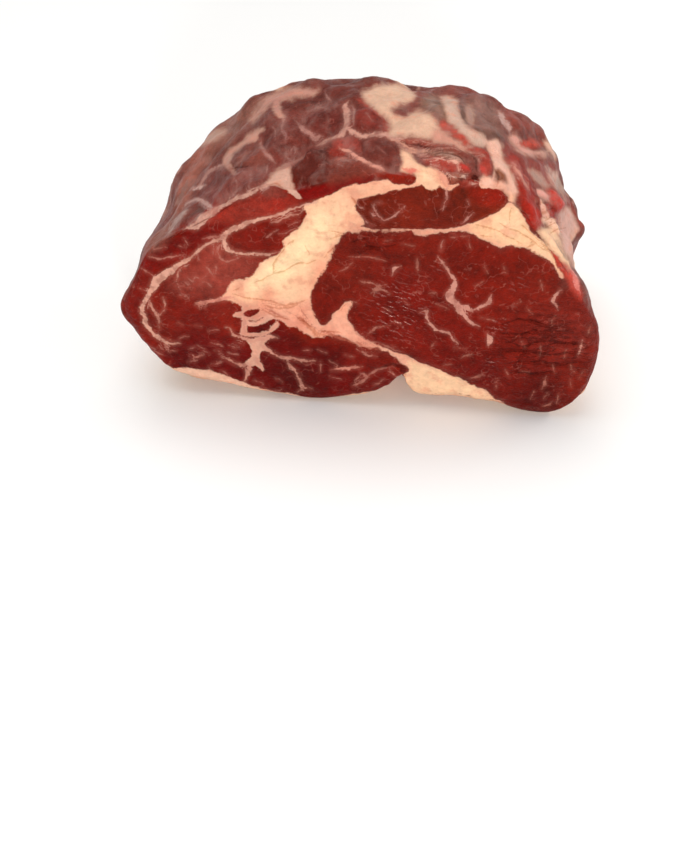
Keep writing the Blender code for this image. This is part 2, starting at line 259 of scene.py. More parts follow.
# The outside above and beside the face, in the same way
OUTSIDE_DRAWING = {
    # its grey-purple is partly painted sheen of the far left flank
    "far left skin and its painted sheen": (LEAN, "875a4f", 8, 0.0, [
        (148, 252), (160, 214), (176, 178), (190, 150), (208, 130), (235, 112), (258, 98),
        (262, 106), (246, 126), (232, 142), (220, 148), (212, 160), (198, 176), (190, 198),
        (178, 220), (165, 240)]),
    "brown edge of the far left": (LEAN, "95584a", 6, 0.0, [
        (180, 170), (190, 156), (204, 140), (209, 152), (198, 170), (191, 190), (184, 208),
        (174, 214)]),
    "muscle of the left shoulder": (LEAN, "713c37", 7, 1.0, [
        (200, 196), (207, 178), (222, 168), (236, 173), (247, 167), (262, 163), (276, 168),
        (264, 186), (246, 194), (224, 202), (208, 203)]),
    "upper left muscle": (LEAN, "7a4239", 6, 0.8, [
        (234, 163), (240, 153), (252, 145), (258, 136), (261, 146), (268, 157), (260, 166),
        (246, 168)]),
    "upper middle muscle": (LEAN, "6c332d", 7, 1.0, [
        (263, 134), (270, 124), (284, 116), (298, 114), (300, 126), (306, 136), (312, 142),
        (306, 152), (298, 160), (284, 166), (270, 157), (264, 146)]),
    "round muscle at the top": (LEAN, "69302b", 5, 1.4, [
        (307, 124), (310, 116), (322, 111), (335, 111), (342, 116), (344, 125), (340, 132),
        (330, 137), (318, 137), (311, 132)]),
    "far rib muscle": (LEAN, "65312b", 6, 0.5, [
        (284, 108), (300, 102), (318, 96), (326, 80), (350, 74), (376, 76), (384, 81), (370, 88),
        (360, 94), (361, 102), (352, 107), (330, 106), (305, 110)]),
    "dark oval muscle": (LEAN, "572520", 4, 2.0, [
        (291, 172), (298, 165), (305, 160), (308, 153), (315, 149), (325, 150), (329, 160),
        (332, 171), (328, 179), (318, 184), (304, 188), (296, 186), (291, 179)]),
    "brown muscle beside the oval": (LEAN, "76382f", 5, 0.8, [
        (331, 160), (341, 155), (352, 158), (367, 165), (382, 172), (372, 176), (352, 180),
        (338, 183), (329, 183), (333, 173)]),
    "purple muscle": (LEAN, "6a332d", 4, 1.6, [
        (360, 141), (372, 139), (386, 142), (396, 148), (403, 157), (404, 164), (399, 170),
        (390, 170), (381, 167), (373, 161), (366, 154)]),
    "dark red muscle": (LEAN, "74302a", 5, 1.2, [
        (355, 113), (362, 110), (370, 110), (378, 114), (384, 121), (386, 131), (382, 136),
        (370, 135), (358, 132), (354, 122)]),
    "far purple skin": (LEAN, "7c4a44", 6, 0.0, [
        (392, 108), (402, 105), (411, 100), (413, 88), (432, 83), (460, 84), (482, 94),
        (470, 100), (455, 94), (442, 97), (436, 106), (424, 109), (411, 110), (403, 115),
        (396, 113)]),
    "grey between the patches": (LEAN, "86675a", 5, 0.0, [
        (420, 100), (432, 96), (441, 100), (449, 112), (450, 121), (441, 120), (432, 113),
        (422, 109)]),
    "grey hollow": (LEAN, "7f5d55", 5, -0.8, [
        (457, 104), (470, 98), (486, 100), (497, 110), (501, 124), (505, 138), (492, 139),
        (480, 133), (468, 124), (460, 116)]),
    "dark streak of the hollow": (LEAN, "5f463c", 3, -0.4, [
        (461, 107, 3), (464, 116, 7), (468, 124, 4)]),
    "dark foot of the hollow": (LEAN, "604239", 3, -0.3, [
        (476, 129, 4), (487, 135, 7), (498, 137, 5)]),
    "light streak of the hollow": (FAT, "9d7a70", 5, 0.2, [
        (469, 107, 4), (472, 114, 7), (472, 121, 4)]),
    "dark streak beside the band": (LEAN, "6f5142", 3, -0.3, [
        (439, 104, 3), (444, 109, 7), (449, 117, 4)]),
    "right shoulder": (LEAN, "8b443a", 6, 0.6, [
        (503, 108), (515, 111), (530, 119), (545, 132), (548, 140), (535, 135), (520, 134),
        (510, 136), (507, 124)]),
    "muscle of the right flank": (LEAN, "83403a", 5, 0.5, [
        (501, 146), (509, 145), (518, 154), (532, 160), (548, 158), (558, 160), (560, 172),
        (552, 188), (540, 190), (532, 186), (522, 171), (510, 160)]),
    "fat of the top": (FAT, "d6ab90", 5, 0.6, [
        (361, 94), (368, 89), (380, 84), (398, 83), (407, 87), (413, 94), (412, 100),
        (402, 104), (392, 107), (396, 113), (404, 116), (412, 112), (424, 112), (433, 118),
        (440, 126), (440, 132), (434, 139), (418, 138), (404, 136), (390, 136), (389, 128),
        (386, 118), (378, 111), (369, 104)]),
    "fat under the red smear": (FAT, "cf907c", 5, 0.0, [
        (436, 128), (442, 130), (452, 137), (464, 143), (474, 146), (470, 150), (455, 146),
        (440, 142), (432, 140)]),
    "band of fat to the right": (FAT, "c6a18e", 4, 0.4, [
        (441, 99), (448, 95), (457, 98), (457, 108), (460, 117), (467, 125), (476, 131),
        (486, 137), (488, 143), (478, 144), (469, 139), (460, 131), (452, 125), (448, 113)]),
    "pink far edge": (FAT, "bb8273", 6, 0.0, [
        (252, 119, 4), (262, 108, 6), (271, 100, 8), (282, 96, 9), (296, 93, 8), (308, 92, 6),
        (315, 89, 3)]),
    "pink far edge going down": (FAT, "b98173", 4, 0.0, [
        (277, 102, 6.6), (279, 112, 7), (283, 120, 3)]),
    "pale shoulder spot": (FAT, "b08c7c", 5, 0.0, [(203, 143, 5), (212, 137, 7), (222, 133, 4)]),
    "left seam": (FAT, "c08b7a", 3, 0.2, [
        (262, 127, 2), (255, 131, 4), (252, 137, 6.6), (247, 142, 5), (240, 146, 4.5),
        (233, 149, 6), (229, 156, 6.4), (228, 162, 5), (232, 168, 3.5), (234, 173, 2)]),
    "left seam going on": (FAT, "ac7b6f", 3, 0.0, [
        (227, 163, 3), (217, 168, 3), (209, 174, 3), (202, 181, 3.5), (197, 187, 4.5)]),
    "pale spot on the left": (FAT, "caa296", 2, 0.2, [(194, 189, 4), (200, 187, 3.5), (207, 187, 3)]),
    "seam under the shoulder": (FAT, "b98f84", 2, 0.2, [
        (186, 207, 2), (190, 202, 2.5), (197, 200, 3), (204, 203, 4), (210, 206, 4.5), (217, 209, 3)]),
    # painted shade in a fold of the shoulder
    "fold of the shoulder in painted shade": (LEAN, "69463f", 2, -0.6, [
        (192, 216, 3), (199, 211, 5), (207, 212, 4)]),
    "second left seam": (FAT, "ad786c", 2, 0.0, [
        (261, 138, 2.5), (260, 146, 3), (264, 153, 3), (271, 158, 3), (277, 163, 2)]),
    "third left seam": (FAT, "9c665b", 2, 0.0, [
        (229, 163, 2), (233, 172, 2.5), (237, 177, 2), (233, 186, 1)]),
    "fourth left seam": (FAT, "99625a", 2, 0.0, [(240, 172, 1.5), (246, 176, 2), (250, 184, 1.5)]),
    "faint muscle spot": (FAT, "99625a", 3, 0.0, [(281, 131, 2), (286, 138, 2.5), (284, 145, 1.5)]),
    "seam round the top muscle": (FAT, "b17b6f", 2, 0.0, [
        (298, 124, 3), (303, 129, 4), (308, 134, 5), (314, 138, 4), (322, 138, 2.5)]),
    "seam below the top muscle": (FAT, "c48d7c", 2, 0.2, [
        (317, 145, 2), (328, 142, 2.5), (336, 139, 3.5), (343, 133, 5), (347, 126, 6),
        (348, 117, 6), (346, 109, 5), (349, 104, 2)]),
    "strand beside the dark red muscle": (FAT, "b07e71", 2, 0.0, [
        (353, 109, 2), (355, 120, 2.5), (354, 127, 1.5)]),
    "seam under the dark red muscle": (FAT, "cd9583", 2, 0.2, [
        (348, 131, 5), (357, 135, 3.5), (369, 137, 3), (384, 136, 3), (396, 138, 2),
        (406, 138, 1.5)]),
    "faint ring": (FAT, "9f6a60", 2, 0.0, [
        (291, 158, 1.5), (291, 153, 2), (296, 151, 2), (298, 156, 1.5)]),
    "faint seam over the triangle": (FAT, "a66f62", 2, 0.0, [
        (306, 156, 1.5), (298, 162, 2.5), (288, 166, 3), (281, 169, 2)]),
    "streak of silver skin": (FAT, "94695e", 4, 0.0, [
        (190, 176, 3), (184, 193, 4), (176, 210, 4), (165, 230, 3), (156, 246, 2)]),
    "second streak of silver skin": (FAT, "ad887d", 3, 0.3, [
        (191, 210, 3), (184, 216, 5), (176, 225, 4), (168, 236, 2.5)]),
    "third streak of silver skin": (FAT, "9c7267", 2, 0.0, [
        (207, 213, 2), (197, 221, 2.5), (188, 228, 2)]),
    "border of the cut": (FAT, "cb9886", 2, 0.4, [
        (185, 229, 3), (196, 226, 5), (205, 219, 6.4), (213, 213, 6), (221, 207, 4.5),
        (230, 202, 4), (241, 197, 3.5), (253, 192, 3), (263, 187, 3), (271, 183, 3)]),
    "brown muscle under the triangle": (LEAN, "7c4038", 3, 0.3, [
        (263, 192), (268, 187), (275, 186), (282, 190), (287, 197), (277, 198), (267, 197)]),
    "pale triangle": (FAT, "cb9c88", 2, 0.5, [
        (267, 184), (273, 175), (280, 169), (288, 166), (291, 174), (292, 183), (296, 191),
        (301, 198), (297, 199), (290, 194), (281, 187), (274, 185)]),
    "pale ribbon": (FAT, "dc9581", 2, 0.3, [
        (341, 149, 2), (350, 152, 3), (359, 157, 4), (367, 161, 3.5), (375, 166, 3), (384, 172, 2)]),
    "thin ribbon": (FAT, "b36b5c", 2, 0.0, [(336, 163, 2), (345, 161, 2.5), (353, 160, 1.5)]),
    "light stroke on the purple muscle": (FAT, "965a50", 2, 0.0, [(380, 149, 1.5), (387, 159, 1.5)]),
    "red edge of the far fat": (LEAN, "a0483e", 4, 0.0, [
        (358, 100), (363, 100), (370, 106), (379, 113), (386, 122), (389, 134), (386, 136),
        (383, 124), (377, 116), (368, 109), (360, 104)]),
    "red smear": (LEAN, "a0463e", 5, 0.0, [
        (335, 146), (341, 140), (352, 138), (360, 140), (360, 148), (350, 151), (338, 152)]),
    "dark red smear": (LEAN, "8e3128", 4, 0.0, [
        (327, 153), (338, 150), (349, 151), (346, 158), (334, 159)]),
    "clot beside the oval": (LEAN, "420c09", 1.5, -0.6, [(321, 152, 3), (325, 155, 3)]),
    "reddish top of the arcs": (LEAN, "8c3e33", 3, 1.0, [
        (390, 140), (405, 139), (425, 140), (445, 144), (462, 148), (455, 152), (438, 150),
        (418, 147), (402, 144)]),
    "brown arc": (LEAN, "74372f", 3, 1.2, [
        (402, 145), (422, 146), (442, 149), (460, 150), (472, 152), (480, 160), (484, 172),
        (476, 172), (470, 162), (460, 157), (445, 154), (425, 151), (410, 149)]),
    "pale arc": (FAT, "cd917b", 2, 0.0, [
        (386, 137, 2), (394, 140, 2.5), (402, 144, 2.5), (409, 149, 3), (420, 152, 3),
        (431, 154, 1.5)]),
    "grey arc": (LEAN, "8d6b5d", 3, 0.8, [
        (428, 152), (442, 153), (455, 156), (464, 161), (468, 168), (462, 166), (452, 161),
        (438, 158)]),
    "light line in the grey arc": (FAT, "b78b7c", 1, 0.0, [
        (436, 154, 1.2), (450, 157, 2), (461, 163, 1.5)]),
    "red right arc": (LEAN, "983a30", 3, 1.4, [
        (468, 147), (480, 146), (487, 150), (491, 158), (492, 166), (487, 176), (482, 173),
        (479, 164), (475, 156)]),
    "red smear by the band": (LEAN, "b04c40", 3, 0.0, [
        (440, 124), (446, 123), (451, 127), (458, 131), (466, 135), (471, 141), (466, 143),
        (458, 138), (450, 134), (443, 130)]),
    "pale shelf over the cut": (FAT, "ecb896", 3, 0.2, [
        (403, 150), (410, 152), (415, 159), (421, 165), (429, 170), (436, 176), (440, 183),
        (438, 189), (426, 188), (419, 180), (411, 172), (400, 171), (404, 162)]),
    "pink streak on the shelf": (FAT, "d4705e", 2, 0.0, [(403, 169, 4), (411, 170, 5), (417, 171, 3)]),
    "red lumps": (LEAN, "9c382f", 3, 1.4, [
        (421, 157), (433, 158), (446, 162), (455, 165), (462, 164), (469, 168), (470, 173),
        (462, 172), (452, 173), (444, 173), (436, 168), (427, 163)]),
    "brown lump": (LEAN, "8d4a3b", 3, 1.0, [
        (450, 175), (458, 174), (462, 179), (456, 183), (449, 181)]),
    "pink lumps beside the shelf": (FAT, "dd937b", 2, 0.8, [
        (437, 172, 3), (443, 177, 6), (447, 183, 6), (452, 186, 3)]),
    "red lower lump": (LEAN, "93392f", 3, 1.2, [
        (458, 181), (464, 178), (474, 178), (480, 181), (478, 186), (466, 187), (458, 185)]),
    "bright red spot": (LEAN, "b83a31", 2, 0.6, [(462, 167, 4), (467, 170, 5), (470, 172, 3)]),
    "second bright red spot": (LEAN, "ba4036", 2, 0.6, [(481, 169, 4), (485, 174, 4.5)]),
    # partly fat and partly a painted highlight on the red lumps
    "pale lumps and painted highlight": (FAT, "e9ab95", 2, 1.2, [(444, 163, 2), (452, 163, 3), (458, 166, 3), (459, 171, 2)]),
    "pale dots": (FAT, "ecc0ab", 2, 1.0, [(461, 176, 3), (465, 177, 3)]),
    "pale lump under the arc": (FAT, "ecb49b", 3, 0.8, [
        (479, 181), (484, 176), (491, 177), (493, 184), (487, 188), (480, 187)]),
    # painted shade in a pit between the lumps
    "pit in painted shade": (LEAN, "571f18", 2, -1.2, [(472, 179, 3), (477, 178, 4), (480, 180, 2)]),
    "pale streak of the shoulder": (FAT, "c1968a", 3, 0.0, [
        (498, 112, 4), (503, 119, 6), (508, 127, 4.5), (509, 134, 3)]),
    "pink ring": (FAT, "d5988a", 4, 0.8, [
        (508, 139), (514, 135), (521, 138), (522, 146), (530, 150), (541, 148), (545, 143),
        (555, 144), (557, 154), (550, 160), (538, 158), (526, 155), (516, 149)]),
    "red heart of the ring": (LEAN, "bd4939", 3, 0.4, [
        (520, 143), (526, 140), (536, 141), (543, 144), (541, 148), (530, 149), (522, 148)]),
    "grey edge of the ring": (FAT, "a98478", 4, 0.0, [(546, 136, 5), (553, 143, 6), (557, 152, 5)]),
    "long pale band": (FAT, "e4b09a", 3, 0.8, [
        (484, 140), (494, 140), (501, 148), (505, 158), (511, 168), (516, 180), (518, 194),
        (511, 194), (503, 190), (492, 189), (487, 184), (492, 176), (494, 164), (490, 152)]),
    "dark wedge": (LEAN, "7a4a35", 2, -0.6, [
        (494, 170), (497, 168), (502, 175), (505, 183), (499, 182), (494, 180)]),
    "red strap": (LEAN, "90261c", 3, 1.6, [
        (507, 157), (514, 157), (522, 165), (530, 175), (535, 187), (539, 200), (543, 211),
        (542, 222), (537, 230), (531, 227), (524, 216), (518, 206), (516, 194), (516, 182),
        (511, 169)]),
    "brightest red of the strap": (LEAN, "a62d25", 3, 0.5, [
        (522, 204), (529, 208), (534, 214), (538, 222), (536, 228), (530, 224), (525, 214)]),
    "dark shade of the strap": (LEAN, "7c2a22", 3, 0.0, [
        (519, 168, 2), (526, 178, 4.5), (531, 190, 5), (535, 202, 5), (539, 212, 4)]),
    "pale thread on the strap": (FAT, "dc9682", 1, 0.2, [
        (511, 163, 1.5), (516, 171, 2), (520, 180, 2), (524, 192, 1.5)]),
    "third thread on the strap": (FAT, "c4685a", 1, 0.2, [
        (524, 176, 1), (530, 188, 1.5), (534, 202, 1)]),
    "second thread on the strap": (FAT, "cf7c6c", 1, 0.2, [
        (515, 164, 1.5), (520, 170, 1.5), (525, 181, 1)]),
    "grey streaks of the flank": (FAT, "a9877b", 4, 0.0, [
        (531, 171, 5), (538, 177, 7), (546, 185, 5)]),
    "pale patch of the flank": (FAT, "cfab9e", 4, 0.4, [(549, 167, 5), (553, 175, 8), (559, 184, 6)]),
    "grey edge of the flank": (FAT, "a58578", 4, 0.0, [(558, 180, 5), (564, 188, 7), (569, 197, 6)]),
    "pink ridge of the flank": (FAT, "e3a091", 3, 1.2, [
        (533, 192, 6), (541, 194, 8), (549, 197, 7), (553, 202, 3)]),
    "bright red fold": (LEAN, "bd3f36", 3, 1.8, [
        (548, 189), (555, 190), (561, 197), (564, 203), (560, 209), (555, 213), (551, 210),
        (549, 201)]),
    "dark red below the fold": (LEAN, "8f2b23", 2, 0.3, [
        (549, 204, 5), (553, 213, 8), (557, 223, 5)]),
    "string of fat": (FAT, "edb39c", 2, 2.2, [(536, 202, 6), (542, 206, 8), (546, 213, 8)]),
    "string of fat going on": (FAT, "efbfa4", 2, 2.0, [
        (541, 219, 7), (548, 220, 9), (551, 227, 9), (556, 234, 6)]),
    "pale fold of the flank": (FAT, "d3a496", 4, 0.6, [
        (558, 213), (565, 206), (571, 212), (575, 222), (582, 228), (592, 230), (582, 239),
        (576, 247), (573, 256), (573, 266), (567, 256), (561, 242), (556, 228)]),
    "red edge of the fold": (LEAN, "a04a40", 3, 0.3, [
        (565, 193), (571, 196), (577, 206), (581, 217), (586, 226), (580, 229), (574, 219),
        (569, 208)]),
    "rosy tip of the fold": (FAT, "eda398", 3, 0.0, [(578, 233, 4), (583, 230, 7), (589, 230, 4)]),
    "fat behind the rim": (FAT, "eec19c", 4, 0.8, [
        (536, 230), (548, 228), (556, 234), (562, 246), (567, 258), (568, 268), (562, 266),
        (554, 252), (545, 242)]),
    "grey crack behind the rim": (FAT, "a88672", 2, -0.5, [
        (554, 238, 2), (559, 246, 2.5), (566, 260, 3)]),
    "red rim of the eye": (LEAN, "c84c40", 3, 0.4, [
        (551, 250, 2), (558, 260, 4), (564, 270, 6), (569, 279, 6.6), (573, 288, 6),
        (579, 298, 2)]),
    "rosy ridge of the rim": (FAT, "e58a7e", 2, 0.6, [
        (566, 266, 2), (571, 275, 4), (575, 285, 5), (578, 292, 3)]),
}

# Marbling of the cut face: colour, then paths of (x, y, width)
MARBLING = {
    "main seam of the cap": ("dba28c", [
        [(318, 202, 2.5), (300, 206, 2), (284, 213, 2.4), (268, 217, 2.6), (250, 221, 3.6),
         (236, 227, 3.4), (226, 233, 3), (216, 240, 2), (204, 246, 2.6), (194, 255, 2.4),
         (184, 262, 4.2), (172, 270, 5), (162, 276, 8), (156, 281, 10), (152, 289, 7),
         (147, 298, 4.4), (144, 306, 4.6), (143, 314, 4.2), (146, 323, 4), (151, 331, 3.2),
         (158, 337, 3.6), (168, 341, 2.2), (180, 342, 1.4)],
        [(250, 221, 2.6), (236, 228, 3.6), (228, 234, 3.2), (224, 241, 3.4), (227, 248, 3.4),
         (236, 252, 2.4), (248, 254, 2.8), (258, 254, 2.4), (268, 254, 2), (280, 251, 1.4)]]),
    "seams of the cap": ("cf8f7b", [
        [(302, 211, 1.5), (290, 216, 2), (281, 219, 2), (272, 222, 1.5)],
        [(151, 299, 2), (152, 307, 2.5), (156, 313, 2.5), (159, 318, 2), (160, 327, 1.2)],
        [(164, 298, 1.5), (164, 308, 1.8), (160, 315, 2)],
        [(176, 279, 1.5), (177, 274, 2), (181, 269, 1.5), (188, 265, 1)],
        [(243, 316, 3), (243, 322, 4), (243, 328, 3), (241, 334, 2)],
        [(226, 326, 1.2), (231, 328, 1.5), (234, 333, 2), (240, 337, 3), (247, 339, 3),
         (254, 341, 4)],
        [(253, 342, 4), (261, 338, 4), (269, 336, 3), (277, 336, 1.5)],
        [(251, 364, 4), (249, 370, 4), (247, 376, 3), (245, 381, 2.5)],
        [(261, 344, 4), (268, 349, 3.5), (275, 353, 3), (284, 356, 3), (292, 357, 2.5),
         (300, 360, 2), (314, 361, 1.5)],
        [(255, 357, 4), (259, 363, 3), (262, 369, 2)],
        [(250, 364, 3), (243, 365, 2.5), (236, 363, 2), (228, 359, 2), (221, 357, 1.5)],
        [(245, 368, 4), (247, 374, 3.5), (244, 381, 2)],
        [(288, 361, 1), (292, 367, 2), (297, 372, 2.5), (300, 380, 2.5), (304, 386, 2.5),
         (311, 388, 1.5)],
        [(304, 386, 2), (299, 390, 1.5)]]),
    "streak of the lower cap": ("d98c78", [
        [(332, 370, 1.5), (340, 368, 2.5), (350, 367, 3), (361, 366, 2)],
        [(196, 304, 3), (208, 301, 2.5), (222, 299, 3.5), (232, 299, 4)],
        [(196, 303, 1.5), (199, 307, 1)]]),
    "red lines of the tail": ("ab5844", [
        [(288, 313, 1), (297, 319, 1.8), (308, 326, 2), (318, 331, 1)],
        [(316, 330, 1), (330, 335, 2), (344, 340, 2), (358, 344, 1)],
        [(262, 309, 1), (274, 313, 1.6), (284, 319, 1.2)],
        [(352, 341, 1), (366, 346, 1.8), (380, 350, 1.2)],
        [(300, 309, 1), (306, 317, 1.4), (312, 324, 1)]]),
    "fine seams of the cap": ("bf7a6a", [
        [(298, 220, 1.2), (290, 224, 1.2)], [(299, 227, 1.5), (288, 231, 1.2), (280, 233, 1)],
        [(277, 229, 1), (268, 235, 1)], [(163, 340, 1.5), (168, 346, 2), (170, 351, 1)],
        [(141, 268, 1.2), (148, 273, 1.5), (156, 276, 1.5)], [(140, 288, 1), (146, 290, 1)],
        [(150, 257, 1.2), (159, 258, 2), (168, 257, 2), (176, 256, 1.5), (184, 254, 1)],
        [(184, 238, 1.5), (188, 243, 1.5)], [(180, 245, 1), (185, 246, 1)],
        [(155, 249, 1), (165, 247, 1)], [(203, 239, 1.2), (213, 237, 1.8), (224, 235, 1.5)],
        [(221, 241, 1.8), (218, 250, 1.8), (221, 257, 1.8), (228, 260, 1.5), (238, 258, 1)],
        [(198, 252, 1), (199, 259, 1)], [(214, 245, 1), (214, 253, 1)],
        [(188, 278, 1), (192, 281, 1.2), (196, 276, 1.2), (201, 279, 1.2), (206, 275, 1.5)],
        [(207, 267, 1.5), (211, 271, 2), (214, 276, 1.2)], [(216, 265, 1), (217, 272, 1)],
        [(199, 283, 1), (206, 281, 1.2), (211, 285, 1)], [(185, 283, 1), (189, 287, 1)],
        [(180, 295, 1.5), (188, 296, 1)], [(178, 284, 1), (181, 290, 1)],
        [(178, 323, 1.5), (183, 324, 1)], [(195, 325, 1), (201, 326, 0.8)],
        [(180, 337, 1.5), (188, 336, 1)], [(170, 349, 1), (176, 351, 1)],
        [(210, 331, 1), (217, 330, 1)], [(199, 305, 1), (206, 306, 1)],
        [(190, 348, 1.5), (196, 347, 1)], [(198, 345, 1.5), (205, 349, 1.5)],
        [(212, 342, 1), (222, 346, 1.8)], [(215, 350, 1), (223, 353, 1.5)],
        [(190, 354, 1.5), (197, 357, 1.8), (204, 355, 1)], [(189, 361, 1.5), (197, 360, 1.2)],
        [(203, 351, 1.5), (209, 353, 1)], [(219, 354, 2), (227, 357, 1.5)],
        [(212, 363, 1.5), (221, 361, 1.5)], [(209, 366, 1.2), (211, 371, 1)],
        [(221, 370, 1), (229, 373, 1.2)], [(229, 352, 1.5), (238, 355, 1)],
        [(231, 345, 1), (239, 347, 1.2)], [(236, 342, 1), (243, 344, 1)],
        [(155, 350, 2), (163, 354, 1.5)], [(160, 345, 1.5), (165, 349, 1.5)],
        [(149, 346, 1), (156, 348, 1)], [(262, 387, 1.5), (268, 391, 1.2)],
        [(255, 380, 1), (262, 383, 1)], [(276, 378, 1), (283, 381, 1)],
        [(270, 391, 1.5), (281, 389, 1)], [(304, 349, 2), (310, 350, 1)],
        [(320, 362, 1.5), (321, 371, 1.2)], [(331, 376, 1), (340, 378, 1)],
        [(355, 380, 1.5), (361, 376, 1.5)], [(330, 361, 1), (337, 364, 1)],
        [(345, 355, 1), (353, 357, 1)], [(357, 349, 1.2), (366, 353, 1.5), (376, 356, 1.5)],
        [(360, 372, 1.5), (368, 377, 1.5), (374, 372, 1.5), (384, 368, 1), (394, 366, 1.2)],
        [(352, 385, 1.5), (361, 382, 2), (369, 377, 1.5)], [(389, 372, 2), (397, 377, 2)],
        [(318, 349, 1), (327, 352, 1)], [(375, 384, 1), (384, 379, 1)]]),
    "threads of the arcs": ("c58d7c", [
        [(388, 138, 1.5), (396, 141, 2.4), (403, 145, 2.4), (410, 149, 1.5)],
        [(400, 147, 1), (412, 150, 1.8), (426, 151, 1.8), (440, 152, 1)],
        [(414, 151, 1), (424, 156, 1.8), (434, 158, 1)],
        [(430, 148, 1), (446, 149, 1.4), (462, 152, 1.4), (474, 158, 1.2), (481, 168, 1)],
        [(448, 157, 1), (458, 160, 1.8), (465, 166, 1)],
        [(462, 150, 1), (474, 153, 1.4), (483, 160, 1)],
        [(405, 141, 1), (420, 142, 1.4), (436, 144, 1)],
        [(440, 145, 1), (452, 147, 1.4), (466, 149, 1)]]),
    # pale threads on the red lumps, partly painted highlights
    "threads and painted highlights of the red lumps": ("e8b4a0", [
        [(426, 160, 1), (438, 162, 1.8), (447, 162, 1.6)],
        [(449, 163, 1.5), (457, 165, 2.4), (459, 171, 1.6)],
        [(461, 176, 2), (465, 178, 2.4)],
        [(445, 172, 1.5), (452, 176, 1.8), (459, 176, 1)],
        [(470, 183, 1), (478, 184, 1.6)],
        [(432, 166, 1), (440, 169, 1.2)]]),
    "threads of the upper muscles": ("a9786d", [
        [(229, 160, 1.5), (231, 168, 2), (236, 174, 1.2), (243, 172, 1)],
        [(258, 140, 1.2), (260, 149, 2), (265, 156, 2), (271, 160, 1.2)],
        [(268, 166, 1.2), (268, 174, 1.6), (264, 180, 1)],
        [(284, 120, 1.2), (282, 130, 1.6), (284, 138, 1)],
        [(272, 128, 1), (276, 134, 1.4), (274, 142, 1)],
        [(291, 150, 1.2), (296, 153, 2), (294, 159, 1.4)],
        [(285, 152, 1), (288, 160, 1.4), (296, 163, 1.2), (304, 158, 1)],
        [(247, 154, 1), (243, 161, 1.4), (236, 166, 1)],
        [(206, 178, 1.2), (214, 172, 1.6), (222, 169, 1.2)],
        [(236, 178, 1), (240, 186, 1.4), (238, 194, 1)],
        [(250, 176, 1), (252, 184, 1.4), (250, 191, 1)],
        [(310, 112, 1), (320, 108, 1.4), (331, 110, 1)],
        [(326, 92, 1.2), (328, 98, 1.8), (333, 104, 1.2)],
        [(338, 161, 1.2), (346, 163, 1.6), (356, 162, 1.2)],
        [(337, 166, 1), (345, 168, 1.2)],
        [(366, 118, 1), (372, 124, 1.2)],
        [(243, 190, 1.4), (235, 196, 1.8), (232, 201, 1.2)],
        [(262, 193, 1.6), (266, 189, 1.8), (270, 186, 1.2)]]),
    "seams of the eye": ("cb8c7b", [
        [(444, 240, 2), (442, 245, 2), (441, 249, 1.5)],
        [(439, 256, 1.5), (443, 261, 2), (447, 268, 2), (451, 275, 2.5), (455, 281, 3.5),
         (454, 288, 5), (450, 294, 7.5), (452, 299, 6.5), (456, 302, 5)],
        [(451, 297, 6), (457, 303, 6), (460, 309, 5.5), (463, 314, 4.5), (468, 319, 4),
         (473, 323, 2.5), (479, 325, 1.5)],
        [(461, 303, 3), (466, 306, 4), (471, 311, 3)],
        [(491, 294, 3), (489, 300, 4), (484, 304, 3.5), (478, 308, 2.5), (471, 311, 2)],
        [(421, 311, 1.5), (427, 311, 2), (428, 317, 2.5), (430, 322, 2.5), (436, 328, 2.5),
         (444, 330, 2), (450, 333, 2), (453, 337, 2), (457, 341, 1.5)],
        [(488, 332, 3.5), (489, 338, 5), (488, 345, 4)],
        [(392, 273, 2), (395, 268, 4), (400, 265, 3.5)],
        [(560, 290, 3), (556, 294, 3), (552, 299, 3), (555, 303, 2), (557, 307, 1.5)],
        [(583, 340, 2), (580, 347, 2.5), (577, 354, 2)]]),
    "fine seams of the eye": ("b4705f", [
        [(350, 256, 1.2), (360, 256, 1.8), (372, 256, 1.8), (386, 259, 1.5)],
        [(361, 280, 1.5), (370, 282, 2.2), (380, 284, 1.8), (386, 283, 1)],
        [(372, 291, 1.5), (376, 288, 2.8), (382, 288, 1.8), (391, 292, 1.5)],
        [(379, 283, 1), (375, 288, 2), (374, 293, 1)],
        [(418, 257, 1.5), (418, 263, 2.2), (419, 270, 1.5)],
        [(368, 333, 1), (374, 327, 1.8), (382, 325, 1.8), (390, 324, 1)],
        [(384, 240, 1), (391, 238, 1)], [(402, 243, 1), (414, 244, 1)],
        [(353, 262, 1), (347, 266, 1.5), (341, 269, 1)], [(352, 302, 2), (358, 303, 1)],
        [(451, 236, 1.5), (456, 236, 1)], [(461, 236, 1.8), (468, 236, 1)],
        [(469, 240, 1), (470, 247, 1)], [(437, 303, 1), (443, 306, 1.5), (449, 308, 1)],
        [(553, 364, 1.5), (554, 371, 1.8)], [(570, 364, 1.5), (575, 371, 1.5)],
        [(521, 371, 1.5), (528, 371, 1.5)], [(522, 340, 1.8), (525, 345, 2)],
        [(541, 345, 1), (540, 353, 1)], [(545, 376, 1.5), (544, 382, 2.2), (542, 387, 1)],
        [(505, 368, 1.5), (508, 375, 1.8)], [(497, 379, 1.8), (496, 386, 1)],
        [(547, 392, 1), (544, 397, 1)], [(559, 393, 1.5), (557, 401, 2.2)],
        [(543, 406, 1.8), (549, 404, 1.8), (552, 400, 1)], [(571, 379, 1), (572, 386, 1)],
        [(555, 315, 1), (552, 321, 1)], [(540, 280, 1), (542, 288, 1)],
        [(504, 266, 1), (506, 272, 1.2)], [(476, 284, 1), (483, 280, 1)],
        [(515, 304, 1), (520, 301, 1)], [(484, 264, 1), (487, 271, 1)],
        [(431, 345, 1.5), (435, 341, 1)], [(470, 377, 1.5), (478, 376, 1.8), (484, 374, 1)],
        [(443, 364, 1), (451, 362, 1)], [(455, 346, 1), (466, 347, 1)],
        [(527, 307, 1), (532, 312, 1)], [(404, 299, 1), (409, 303, 1)],
